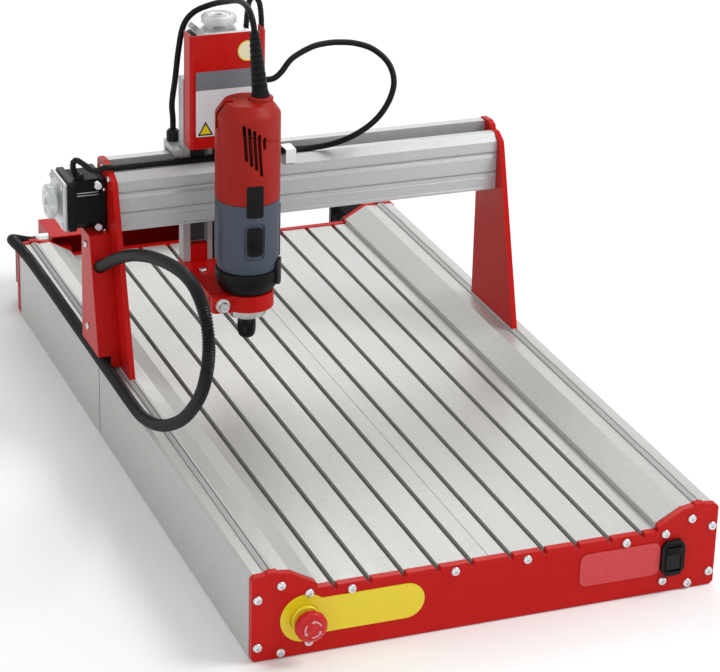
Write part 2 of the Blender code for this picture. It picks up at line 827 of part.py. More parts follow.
def spindle_body():
    axis = (TOWER_X, TOOL_Y, 0)
    neck = [
        (0.0090, 0.2110),
        (0.0210, 0.2110),
        (NECK_RADIUS, 0.2100),
        (NECK_RADIUS, 0.1595),
        (0.0205, 0.1585),
        (0.0090, 0.1585),
    ]
    keep(turned(neck, "+Z", axis, 36, ring=True), "spindle_neck", STEEL)
    nose = [(0.0220, 0.2120), (0.0315, 0.2120), (0.0300, 0.1960), (0.0280, 0.1862), (0.0220, 0.1862)]
    nose_ring = turned(nose, "+Z", axis, 36, ring=True)
    x, y = TOWER_X, TOOL_Y
    cut(nose_ring, block((x + 0.0270, y - 0.0064, 0.1926), (x + 0.0400, y + 0.0064, 0.2084)))
    keep(nose_ring, "spindle_nose", BLACK)
    lower = [
        (0.0316, 0.2900),
        (TOOL_RADIUS, 0.2900),
        (TOOL_RADIUS, 0.2300),
        (0.0335, 0.2180),
        (0.0318, 0.2123),
        (0.0250, 0.2123),
        (0.0250, 0.2160),
        (0.0316, 0.2220),
    ]
    keep(turned(lower, "+Z", axis, 36, ring=True), "lower_housing", TOOL_GREY)
    upper = [
        (0, 0.3970),
        (0.0240, 0.3970),
        (0.0270, 0.3950),
        (TOOL_RADIUS, 0.3840),
        (TOOL_RADIUS, 0.2903),
        (0.0316, 0.2903),
        (0.0316, 0.3820),
        (0.0250, 0.3920),
        (0, 0.3940),
    ]
    housing = turned(upper, "+Z", axis, 36)
    slot_x = TOWER_X - 0.0245
    cut(housing, block((slot_x - 0.012, TOOL_Y - 0.0034, 0.3690), (slot_x + 0.008, TOOL_Y + 0.0034, 0.4000)))
    keep(housing, "upper_housing", TOOL_RED)
    dial = bar("Y", TOOL_Y - 0.0030, TOOL_Y + 0.0030, (slot_x, 0.3838), 0.0075, 24)
    keep(dial, "speed_dial", BLACK)


def spindle_moving_parts():
    axis = (TOWER_X, TOOL_Y, 0)
    shaft = [
        (0, 0.3860),
        (0.0050, 0.3860),
        (0.0050, 0.3560),
        (0.0150, 0.3560),
        (0.0150, 0.3350),
        (0.0240, 0.3350),
        (0.0240, 0.2500),
        (0.0080, 0.2500),
        (0.0080, 0.2400),
        (0.0280, 0.2400),
        (0.0280, 0.2330),
        (0.0085, 0.2330),
        (0.0085, 0.1560),
        (0.0060, 0.1560),
        (0.0060, 0.1380),
        (0, 0.1380),
    ]
    keep(turned(shaft, "+Z", axis, 28), "spindle_shaft", STEEL)
    nut = [
        (0.0063, 0.1530),
        (0.0098, 0.1530),
        (0.0098, 0.1370),
        (0.0085, 0.1315),
        (0.0070, 0.1298),
        (0.0040, 0.1298),
        (0.0040, 0.1370),
        (0.0063, 0.1370),
    ]
    keep(turned(nut, "+Z", axis, 24, ring=True), "collet_nut", BLACK)


def spindle_controls():
    front = TOOL_Y - TOOL_RADIUS - GAP
    slider = block((TOWER_X - 0.0075, front - 0.0030, 0.2395), (TOWER_X + 0.0075, front, 0.2655))
    keep(rounded(slider, 0.0010), "spindle_switch", BLACK)
    button = block(
        (TOWER_X + 0.0300, TOOL_Y - 0.006, 0.1930), (TOWER_X + 0.0372, TOOL_Y + 0.006, 0.2080)
    )
    keep(rounded(button, 0.0012), "lock_button", BLACK)


RELIEF_X = -0.0838
RELIEF_BASE = 0.3984
RELIEF_TOP = 0.4700
RELIEF_TILT = -0.104


def strain_relief():
    height = RELIEF_TOP - RELIEF_BASE
    profile = [
        (0.0036, height),
        (0.0055, height),
        (0.0085, 0.006),
        (0.0095, 0.004),
        (0.0095, 0),
        (0.0036, 0),
    ]
    relief = turned(profile, "+Z", (RELIEF_X, TOOL_Y, RELIEF_BASE), 20, ring=True)
    relief.rotation_euler = (0, RELIEF_TILT, 0)
    keep(relief, "strain_relief", RUBBER)


# ---------------------------------------------------------------- cables

CONDUIT_DIAMETER = 0.013
CABLE_DIAMETER = 0.0066
TOOL_CABLE_DIAMETER = 0.0065
GROOVE_Y, GROOVE_Z = 0.0895, 0.3054

CONDUIT_ROUTE = [
    (-0.2166, 0.4550, 0.0827),
    (-0.2260, 0.4547, 0.0838),
    (-0.2390, 0.4505, 0.0890),
    (-0.2478, 0.4400, 0.0945),
    (-0.2500, 0.4240, 0.0980),
    (-0.2475, 0.4020, 0.0975),
    (-0.2450, 0.3700, 0.0962),
    (-0.2440, 0.3000, 0.0958),
    (-0.2440, 0.2000, 0.0958),
    (-0.2440, 0.1000, 0.0958),
    (-0.2440, 0.0500, 0.0958),
    (-0.2440, 0.0000, 0.0958),
    (-0.2440, -0.0450, 0.0958),
    (-0.2435, -0.0850, 0.0970),
    (-0.2430, -0.1250, 0.1060),
    (-0.2430, -0.1700, 0.1240),
    (-0.2430, -0.2200, 0.1520),
    (-0.2430, -0.2600, 0.1830),
    (-0.2430, -0.2910, 0.2160),
    (-0.2430, -0.3080, 0.2500),
    (-0.2430, -0.3100, 0.2780),
    (-0.2430, -0.2960, 0.3010),
    (-0.2430, -0.2670, 0.3130),
    (-0.2430, -0.2300, 0.3130),
    (-0.2430, -0.1800, 0.3040),
    (-0.2430, -0.1150, 0.2860),
    (-0.2430, -0.0500, 0.2620),
    (-0.2425, 0.0100, 0.2340),
    (-0.2415, 0.0500, 0.2130),
    (-0.2405, 0.0760, 0.2010),
    (-0.2405, 0.0880, 0.1950),
]

LOOP_START = (-0.0180, GROOVE_Y, GROOVE_Z)
LOOP_TOP = (0.0300, 0.1000, 0.4190)
LOOP_ROUTE = [
    LOOP_START,
    (LOOP_START[0] + 0.0050, GROOVE_Y, GROOVE_Z),
    (0.0050, 0.0885, 0.3054),
    (0.0250, 0.0790, 0.3110),
    (0.0460, 0.0670, 0.3230),
    (0.0680, 0.0640, 0.3385),
    (0.0830, 0.0640, 0.3580),
    (0.0920, 0.0720, 0.3775),
    (0.0900, 0.0850, 0.3950),
    (0.0750, 0.0940, 0.4095),
    (0.0550, 0.0990, 0.4165),
    (0.0350, 0.1000, 0.4190),
    LOOP_TOP,
]
COVER_ENTRY = (TOWER_X + COVER_HALF + 0.0008, 0.0835, 0.3900)
TAIL_ROUTE = [
    (LOOP_TOP[0] - 0.0006, LOOP_TOP[1], LOOP_TOP[2]),
    (LOOP_TOP[0] - 0.0056, LOOP_TOP[1], LOOP_TOP[2]),
    (0.0060, 0.0980, 0.4170),
    (-0.0180, 0.0930, 0.4080),
    (-0.0330, 0.0860, 0.3960),
    (COVER_ENTRY[0] + 0.0120, 0.0836, 0.3905),
    COVER_ENTRY,
]

TOOL_ROUTE = [
    (-0.0901, TOOL_Y, 0.4590),
    (-0.0917, TOOL_Y, 0.4745),
    (-0.0928, 0.0120, 0.4855),
    (-0.0920, 0.0290, 0.4905),
    (-0.0910, 0.0580, 0.4880),
    (-0.0940, 0.0880, 0.4790),
    (-0.1030, 0.1110, 0.4700),
    (-0.1195, 0.1215, 0.4600),
    (-0.1312, 0.1220, 0.4460),
    (-0.1370, 0.1215, 0.4200),
    (-0.1410, 0.1215, 0.3870),
    (-0.1440, 0.1235, 0.3600),
    (TOOL_GLAND[0], TOOL_GLAND[1], 0.3400),
    (TOOL_GLAND[0], TOOL_GLAND[1], 0.3200),
]


def cables():
    keep(cable(CONDUIT_ROUTE, CONDUIT_DIAMETER, 0.026), "gantry_conduit", RUBBER)
    groove = cable(
        [(-PLATE_INNER + GAP, GROOVE_Y, GROOVE_Z), (LOOP_START[0] - GAP, GROOVE_Y, GROOVE_Z)],
        CABLE_DIAMETER,
        0.05,
    )
    keep(groove, "z_cable_run", RUBBER)
    keep(cable(LOOP_ROUTE, CABLE_DIAMETER, 0.013), "z_cable_loop", RUBBER)
    keep(cable(TAIL_ROUTE, CABLE_DIAMETER, 0.013), "z_cable_tail", RUBBER)
    keep(cable(TOOL_ROUTE, TOOL_CABLE_DIAMETER, 0.013), "spindle_cable", RUBBER)


def shade_round_parts():
    for obj in PARTS.objects:
        if obj.type == "MESH":
            obj.data.shade_smooth()
            obj.data.set_sharp_from_angle(angle=math.radians(35))


def build():
    base_rails()
    tables()
    end_plates()
    base_floor()
    drive_screws_and_rods()
    y_motors()
    rear_control_box()
    power_inlet()
    stop_switch()
    power_switch()
    side_plates()
    beam()
    cross_rods()
    y_carriages()
    left_drive_cover()
    x_drive()
    cable_clip()
    x_carriage()
    z_column()
    z_drive()
    tower_cover()
    spindle_bracket()
    spindle_body()
    spindle_moving_parts()
    spindle_controls()
    strain_relief()
    cables()
    shade_round_parts()


clear_scene()
PARTS = new_collection("cnc_router")
CUTTERS = new_collection("cutters")
build()
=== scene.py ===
"""Looks of the desktop CNC router: finishes, fasteners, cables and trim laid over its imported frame.

Everything is in metres, in the frame's own axes: +X to the machine's right, +Y to its back, +Z up.
"""

import logging
import math
from dataclasses import dataclass
from enum import Enum
from typing import Callable, Optional, Sequence

import bmesh
import bpy
import numpy as np
from mathutils import Matrix, Vector


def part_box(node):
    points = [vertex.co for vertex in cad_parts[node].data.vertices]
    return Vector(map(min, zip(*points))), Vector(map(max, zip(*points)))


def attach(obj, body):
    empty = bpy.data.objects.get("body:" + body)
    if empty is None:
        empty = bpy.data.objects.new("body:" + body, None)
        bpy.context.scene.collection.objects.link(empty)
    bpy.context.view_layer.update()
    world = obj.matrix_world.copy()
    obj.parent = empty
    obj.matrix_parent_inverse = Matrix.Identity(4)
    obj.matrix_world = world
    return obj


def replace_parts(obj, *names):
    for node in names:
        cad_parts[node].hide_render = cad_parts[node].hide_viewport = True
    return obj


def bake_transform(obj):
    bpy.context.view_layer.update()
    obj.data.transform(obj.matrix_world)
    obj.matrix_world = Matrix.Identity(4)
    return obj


LOG = logging.getLogger("cnc_router")
Point = tuple[float, float, float]
Pair = tuple[float, float]
Colour = tuple[float, float, float]
GAP = 0.0003
SHARP_EDGE = math.radians(35)


class Axis(Enum):
    """A direction along one of the frame's axes."""

    X = (1.0, 0.0, 0.0)
    MINUS_X = (-1.0, 0.0, 0.0)
    Y = (0.0, 1.0, 0.0)
    MINUS_Y = (0.0, -1.0, 0.0)
    Z = (0.0, 0.0, 1.0)

    @property
    def vector(self) -> Vector:
        """The direction as a vector."""
        return Vector(self.value)

    @property
    def turn(self) -> Matrix:
        """The rotation that takes +Z onto this direction."""
        return Vector((0, 0, 1)).rotation_difference(self.vector).to_matrix().to_4x4()


class Plane(Enum):
    """The plane an outline lies in, with the order of its two coordinates and its depth."""

    XY = (0, 1, 2)
    XZ = (0, 2, 1)
    YZ = (1, 2, 0)

    def point(self, u: float, v: float, depth: float) -> Point:
        """The place of an outline's point at a depth."""
        place = [0.0, 0.0, 0.0]
        for index, value in zip(self.value, (u, v, depth)):
            place[index] = value
        return tuple(place)


# ---------------------------------------------------------------- shader effects


class Effects:
    """Node groups that several finishes share. Each is built once."""

    @staticmethod
    def _group(name: str, inputs: Sequence[tuple], outputs: Sequence[tuple]) -> tuple:
        """An empty group with its sockets.

        Args:
            name: the group's name.
            inputs: (name, socket type, default) of each input.
            outputs: (name, socket type) of each output.

        Returns:
            The tree, its input node and its output node.
        """
        tree = bpy.data.node_groups.new(name, "ShaderNodeTree")
        for label, kind, default in inputs:
            socket = tree.interface.new_socket(label, in_out="INPUT", socket_type=kind)
            if default is not None:
                socket.default_value = default
        for label, kind in outputs:
            tree.interface.new_socket(label, in_out="OUTPUT", socket_type=kind)
        return tree, tree.nodes.new("NodeGroupInput"), tree.nodes.new("NodeGroupOutput")

    @classmethod
    def mottle(cls) -> bpy.types.NodeTree:
        """Slow changes of shade: a factor that wanders about 1."""
        found = bpy.data.node_groups.get("shade_mottle")
        if found:
            return found
        tree, start, end = cls._group(
            "shade_mottle",
            [
                ("Vector", "NodeSocketVector", None), ("Scale", "NodeSocketFloat", 12.0),
                ("Amount", "NodeSocketFloat", 0.06),
            ],
            [("Factor", "NodeSocketFloat")],
        )
        noise = tree.nodes.new("ShaderNodeTexNoise")
        noise.inputs["Detail"].default_value = 5.0
        centre = tree.nodes.new("ShaderNodeMath")
        centre.operation = "SUBTRACT"
        centre.inputs[1].default_value = 0.5
        sized = tree.nodes.new("ShaderNodeMath")
        sized.operation = "MULTIPLY_ADD"
        sized.inputs[2].default_value = 1.0
        tree.links.new(start.outputs["Vector"], noise.inputs["Vector"])
        tree.links.new(start.outputs["Scale"], noise.inputs["Scale"])
        tree.links.new(noise.outputs["Fac"], centre.inputs[0])
        tree.links.new(centre.outputs[0], sized.inputs[0])
        tree.links.new(start.outputs["Amount"], sized.inputs[1])
        tree.links.new(sized.outputs[0], end.inputs["Factor"])
        return tree

    @classmethod
    def grain(cls) -> bpy.types.NodeTree:
        """A stretched fine noise: drawn lines on an extrusion, or an even grain where the stretch is even."""
        found = bpy.data.node_groups.get("drawn_grain")
        if found:
            return found
        tree, start, end = cls._group(
            "drawn_grain",
            [
                ("Vector", "NodeSocketVector", None), ("Stretch", "NodeSocketVector", (1.0, 1.0, 1.0)),
                ("Scale", "NodeSocketFloat", 900.0),
            ],
            [("Height", "NodeSocketFloat")],
        )
        shaped = tree.nodes.new("ShaderNodeVectorMath")
        shaped.operation = "MULTIPLY"
        noise = tree.nodes.new("ShaderNodeTexNoise")
        noise.inputs["Detail"].default_value = 3.0
        tree.links.new(start.outputs["Vector"], shaped.inputs[0])
        tree.links.new(start.outputs["Stretch"], shaped.inputs[1])
        tree.links.new(shaped.outputs["Vector"], noise.inputs["Vector"])
        tree.links.new(start.outputs["Scale"], noise.inputs["Scale"])
        tree.links.new(noise.outputs["Fac"], end.inputs["Height"])
        return tree

    @classmethod
    def edge_wear(cls) -> bpy.types.NodeTree:
        """A mask of the rubbed outer edges, broken up by noise."""
        found = bpy.data.node_groups.get("edge_wear")
        if found:
            return found
        tree, start, end = cls._group(
            "edge_wear",
            [("Vector", "NodeSocketVector", None), ("Amount", "NodeSocketFloat", 0.3)],
            [("Mask", "NodeSocketFloat")],
        )
        shape = tree.nodes.new("ShaderNodeNewGeometry")
        ramp = tree.nodes.new("ShaderNodeMapRange")
        ramp.inputs["From Min"].default_value = 0.53
        ramp.inputs["From Max"].default_value = 0.62
        noise = tree.nodes.new("ShaderNodeTexNoise")
        noise.inputs["Scale"].default_value = 160.0
        noise.inputs["Detail"].default_value = 4.0
        broken = tree.nodes.new("ShaderNodeMath")
        broken.operation = "MULTIPLY"
        sized = tree.nodes.new("ShaderNodeMath")
        sized.operation = "MULTIPLY"
        sized.use_clamp = True
        tree.links.new(start.outputs["Vector"], noise.inputs["Vector"])
        tree.links.new(shape.outputs["Pointiness"], ramp.inputs["Value"])
        tree.links.new(ramp.outputs["Result"], broken.inputs[0])
        tree.links.new(noise.outputs["Fac"], broken.inputs[1])
        tree.links.new(broken.outputs[0], sized.inputs[0])
        tree.links.new(start.outputs["Amount"], sized.inputs[1])
        tree.links.new(sized.outputs[0], end.inputs["Mask"])
        return tree


# ---------------------------------------------------------------- finishes


@dataclass(frozen=True)
class Finish:
    """One surface finish with its colour, gloss, grain, wear and record slot."""

    name: str
    slot: str
    colour: Colour
    roughness: float
    metallic: float = 0.0
    coat: float = 0.0
    mottle: float = 0.06
    mottle_scale: float = 14.0
    rough_spread: float = 0.06
    grain_scale: float = 900.0
    grain_stretch: Point = (1.0, 1.0, 1.0)
    grain_height: float = 0.00003
    grain_shade: float = 0.0
    wear: float = 0.0
    wear_colour: Colour = (0.6, 0.6, 0.6)
    transmission: float = 0.0
    specular: float = 0.5

    def material(self) -> bpy.types.Material:
        """The finish as a material, built the first time it is asked for."""
        found = bpy.data.materials.get(self.name)
        return found if found else self._build()

    def _build(self) -> bpy.types.Material:
        """Wires the shared effects into a new material.

        Returns:
            The material.
        """
        made = bpy.data.materials.new(self.name)
        made.use_nodes = True
        tree = made.node_tree
        shader = tree.nodes["Principled BSDF"]
        shader.inputs["Metallic"].default_value = self.metallic
        shader.inputs["Coat Weight"].default_value = self.coat
        shader.inputs["Coat Roughness"].default_value = 0.12
        shader.inputs["Transmission Weight"].default_value = self.transmission
        shader.inputs["Specular IOR Level"].default_value = self.specular
        place = tree.nodes.new("ShaderNodeTexCoord").outputs["Object"]

        mottle = self._place(tree, Effects.mottle(), place)
        mottle.inputs["Scale"].default_value = self.mottle_scale
        mottle.inputs["Amount"].default_value = self.mottle
        grain = self._place(tree, Effects.grain(), place)
        grain.inputs["Scale"].default_value = self.grain_scale
        grain.inputs["Stretch"].default_value = self.grain_stretch

        lined = tree.nodes.new("ShaderNodeMapRange")
        lined.inputs["To Min"].default_value = 1.0 - self.grain_shade
        lined.inputs["To Max"].default_value = 1.0 + self.grain_shade
        shade = tree.nodes.new("ShaderNodeMath")
        shade.operation = "MULTIPLY"
        tree.links.new(grain.outputs["Height"], lined.inputs["Value"])
        tree.links.new(mottle.outputs["Factor"], shade.inputs[0])
        tree.links.new(lined.outputs["Result"], shade.inputs[1])

        painted = tree.nodes.new("ShaderNodeVectorMath")
        painted.operation = "SCALE"
        painted.inputs[0].default_value = self.colour
        tree.links.new(shade.outputs[0], painted.inputs["Scale"])
        rubbed = tree.nodes.new("ShaderNodeMix")
        rubbed.data_type = "RGBA"
        rubbed.inputs["B"].default_value = (*self.wear_colour, 1.0)
        worn = self._place(tree, Effects.edge_wear(), place)
        worn.inputs["Amount"].default_value = self.wear
        tree.links.new(worn.outputs["Mask"], rubbed.inputs["Factor"])
        tree.links.new(painted.outputs["Vector"], rubbed.inputs["A"])
        tree.links.new(rubbed.outputs["Result"], shader.inputs["Base Color"])

        dulled = tree.nodes.new("ShaderNodeMapRange")
        dulled.inputs["From Min"].default_value = 0.3
        dulled.inputs["From Max"].default_value = 0.7
        dulled.inputs["To Min"].default_value = max(0.02, self.roughness - self.rough_spread)
        dulled.inputs["To Max"].default_value = min(1.0, self.roughness + self.rough_spread)
        tree.links.new(grain.outputs["Height"], dulled.inputs["Value"])
        tree.links.new(dulled.outputs["Result"], shader.inputs["Roughness"])

        bump = tree.nodes.new("ShaderNodeBump")
        bump.inputs["Strength"].default_value = 0.6
        bump.inputs["Distance"].default_value = self.grain_height
        tree.links.new(grain.outputs["Height"], bump.inputs["Height"])
        tree.links.new(bump.outputs["Normal"], shader.inputs["Normal"])
        return made

    @staticmethod
    def _place(
        tree: bpy.types.NodeTree, group: bpy.types.NodeTree, place: bpy.types.NodeSocket,
    ) -> bpy.types.Node:
        """A shared effect in a material, fed with the surface's own coordinates."""
        node = tree.nodes.new("ShaderNodeGroup")
        node.node_tree = group
        tree.links.new(place, node.inputs["Vector"])
        return node


def drawn(axis: Axis, name: str, colour: Colour, roughness: float) -> Finish:
    """The finish of an anodised extrusion, with lines drawn along its length."""
    stretch = tuple(0.012 if abs(part) > 0.5 else 1.0 for part in axis.value)
    return Finish(
        name, "aluminium", colour, roughness, metallic=0.35, mottle=0.05, mottle_scale=7.0, rough_spread=0.07,
        grain_scale=420.0, grain_stretch=stretch, grain_height=0.00002, grain_shade=0.045, wear=0.25,
        wear_colour=(0.85, 0.85, 0.85),
    )


BASE_METAL = drawn(Axis.Y, "anodised_along_base", (0.47, 0.475, 0.455), 0.42)
BEAM_METAL = drawn(Axis.X, "anodised_along_beam", (0.47, 0.48, 0.485), 0.42)
COLUMN_METAL = drawn(Axis.Z, "anodised_along_column", (0.42, 0.425, 0.43), 0.40)
RED_COAT = Finish(
    "red_powder_coat", "red_coat", (0.47, 0.003, 0.002), 0.34, coat=0.03, mottle=0.05, rough_spread=0.05,
    grain_scale=1500.0, grain_height=0.00006, wear=0.18, wear_colour=(0.70, 0.06, 0.05), specular=0.12,
)
CAST_METAL = Finish(
    "cast_motor_cap", "aluminium", (0.50, 0.51, 0.52), 0.34, metallic=0.8, grain_scale=1200.0,
    grain_height=0.00008, wear=0.4, wear_colour=(0.9, 0.9, 0.9),
)
STEEL = Finish(
    "ground_steel", "steel", (0.72, 0.72, 0.72), 0.24, metallic=1.0, mottle=0.08, grain_scale=1800.0, wear=0.2,
    wear_colour=(0.95, 0.95, 0.95),
)
ZINC = Finish(
    "zinc_screw", "steel", (0.74, 0.75, 0.77), 0.28, metallic=1.0, mottle=0.12, mottle_scale=160.0, wear=0.5,
    wear_colour=(0.98, 0.98, 0.98),
)
MOTOR_BLACK = Finish(
    "motor_black_enamel", "black_metal", (0.0022, 0.0024, 0.003), 0.36, grain_scale=1400.0, wear=0.15,
    wear_colour=(0.08, 0.08, 0.09), specular=0.14,
)
STACK_BLACK = Finish(
    "stacked_black_sheets", "black_metal", (0.0024, 0.0025, 0.003), 0.42, specular=0.12, grain_scale=900.0,
    grain_stretch=(1.0, 0.02, 0.02),
    grain_height=0.00010, grain_shade=0.25, wear=0.2, wear_colour=(0.06, 0.06, 0.07),
)
COLLET_BLACK = Finish(
    "blackened_collet_nut", "black_metal", (0.006, 0.006, 0.0065), 0.38, metallic=0.3, grain_scale=1500.0,
    specular=0.2, wear=0.5, wear_colour=(0.35, 0.35, 0.36),
)
BLACK_PLASTIC = Finish(
    "black_moulding", "black_plastic", (0.0035, 0.0035, 0.0042), 0.42, mottle=0.10, grain_scale=1800.0,
    grain_height=0.00008, wear=0.3, wear_colour=(0.06, 0.06, 0.065), specular=0.18,
)
CABLE_BLACK = Finish(
    "black_cable_skin", "rubber", (0.0035, 0.0040, 0.0045), 0.46, mottle=0.15, mottle_scale=40.0,
    grain_scale=1500.0, grain_height=0.00006, wear=0.2, wear_colour=(0.04, 0.04, 0.04), specular=0.18,
)
CONDUIT_BLACK = Finish(
    "black_ribbed_conduit", "rubber", (0.0025, 0.0025, 0.003), 0.34, mottle=0.12, mottle_scale=40.0,
    grain_scale=1500.0, grain_height=0.00004, wear=0.3, wear_colour=(0.06, 0.06, 0.06), specular=0.22,
)
LIP_GREY = Finish(
    "grey_slit_lip", "rubber", (0.42, 0.42, 0.41), 0.55, mottle=0.10, grain_scale=900.0, grain_height=0.00006,
    wear=0.2, wear_colour=(0.6, 0.6, 0.6),
)
TOOL_RED = Finish(
    "tool_red_moulding", "tool_red", (0.33, 0.010, 0.005), 0.42, specular=0.2, mottle=0.05, mottle_scale=30.0,
    grain_scale=2400.0, grain_height=0.00014,
    wear=0.25, wear_colour=(0.50, 0.05, 0.035),
)
TOOL_GREY = Finish(
    "tool_grey_moulding", "tool_grey", (0.068, 0.083, 0.115), 0.44, specular=0.25, mottle=0.05,
    mottle_scale=30.0, grain_scale=2400.0, grain_height=0.00014,
    wear=0.25, wear_colour=(0.17, 0.19, 0.23),
)
CLEAR_KNOB = Finish(
    "clear_knob", "clear", (0.93, 0.95, 0.96), 0.16, mottle=0.02, rough_spread=0.04, grain_scale=900.0,
    grain_height=0.00002,
    wear=0.2, wear_colour=(1.0, 1.0, 1.0), transmission=0.55,
)
BRASS = Finish(
    "turned_brass", "brass", (0.72, 0.50, 0.20), 0.30, metallic=1.0, grain_scale=1600.0, wear=0.3,
    wear_colour=(0.9, 0.75, 0.4),
)
STOP_RED = Finish(
    "stop_button_red", "stop_red", (0.52, 0.010, 0.012), 0.28, coat=0.10, specular=0.25, mottle=0.03,
    grain_scale=1400.0, grain_height=0.00003, wear=0.2, wear_colour=(0.85, 0.25, 0.2),
)
LABEL_YELLOW = Finish(
    "yellow_label", "clear", (0.76, 0.60, 0.012), 0.30, coat=0.05, mottle=0.02, grain_scale=1400.0,
    grain_height=0.00001,
)
LABEL_RED = Finish(
    "pale_red_label", "red_coat", (0.58, 0.030, 0.040), 0.26, coat=0.08, mottle=0.02, grain_scale=1400.0,
    grain_height=0.00001,
)
LABEL_WHITE = Finish(
    "white_label", "clear", (0.68, 0.68, 0.71), 0.32, coat=0.05, mottle=0.03, grain_scale=1400.0,
    grain_height=0.00001,
)
LABEL_GREY = Finish(
    "grey_label_band", "clear", (0.16, 0.17, 0.20), 0.32, coat=0.05, mottle=0.03, grain_scale=1400.0,
    grain_height=0.00001,
)
LABEL_CREAM = Finish(
    "cream_label", "clear", (0.80, 0.74, 0.52), 0.32, coat=0.05, mottle=0.04, grain_scale=1400.0,
    grain_height=0.00001,
)
MARK_PALE = Finish(
    "pale_mark", "clear", (0.66, 0.28, 0.30), 0.40, mottle=0.03, grain_scale=1400.0, grain_height=0.00001,
)
SEAM_DARK = Finish("dark_joint", "black_plastic", (0.14, 0.14, 0.14), 0.60, mottle=0.10, grain_scale=900.0)
# Painted shade: a near-black finish for the sheets in the column's front slots, standing for the shade inside
# them.
SLOT_SHADE_BLACK = Finish("painted_slot_shade", "black_plastic", (0.006, 0.006, 0.006), 0.70, mottle=0.10, grain_scale=900.0)
# Painted shade: a darkened copy of the tool's red for the ring behind the vents, standing for the shade inside
# the housing.
VENT_SHADE_RED = Finish("painted_vent_shade", "tool_red", (0.045, 0.003, 0.002), 0.6, specular=0.1)
FLOOR = Finish(
    "pale_floor", "aluminium", (0.93, 0.93, 0.93), 0.75, mottle=0.01, mottle_scale=2.0, grain_scale=300.0,
    grain_height=0.00002,
)


# ---------------------------------------------------------------- shapes


def circle(u: float, v: float, radius: float, count: int = 32) -> list[Pair]:
    """Points on a circle, anticlockwise."""
    return arc(u, v, radius, 0.0, 360.0 - 360.0 / count, count - 1)


def arc(u: float, v: float, radius: float, start: float, end: float, count: int) -> list[Pair]:
    """Points on an arc, angles in degrees."""
    angles = np.radians(np.linspace(start, end, count + 1))
    return [(u + radius * math.cos(a), v + radius * math.sin(a)) for a in angles]


def rounded_rectangle(low: Pair, high: Pair, radius: float, count: int = 5) -> list[Pair]:
    """Outline of a rectangle with round corners, anticlockwise."""
    left, right, bottom, top = low[0] + radius, high[0] - radius, low[1] + radius, high[1] - radius
    outline: list[Pair] = []
    for (u, v), start in zip(((right, bottom), (right, top), (left, top), (left, bottom)), (-90, 0, 90, 180)):
        outline += arc(u, v, radius, start, start + 90, count)
    return outline


def smooth_route(points: Sequence[Point], spacing: float) -> list[Vector]:
    """Points at about the given spacing on a smooth curve through the route's own points."""
    route = [Vector(p) for p in points]
    ends = [2 * route[0] - route[1], *route, 2 * route[-1] - route[-2]]
    found = [route[0]]
    for a, b, c, d in zip(ends, ends[1:], ends[2:], ends[3:]):
        count = max(1, round((c - b).length / spacing))
        for i in range(1, count + 1):
            t = i / count
            bend = (2 * a - 5 * b + 4 * c - d) * t * t + (3 * b - a - 3 * c + d) * t * t * t
            found.append((2 * b + (c - a) * t + bend) / 2)
    return found


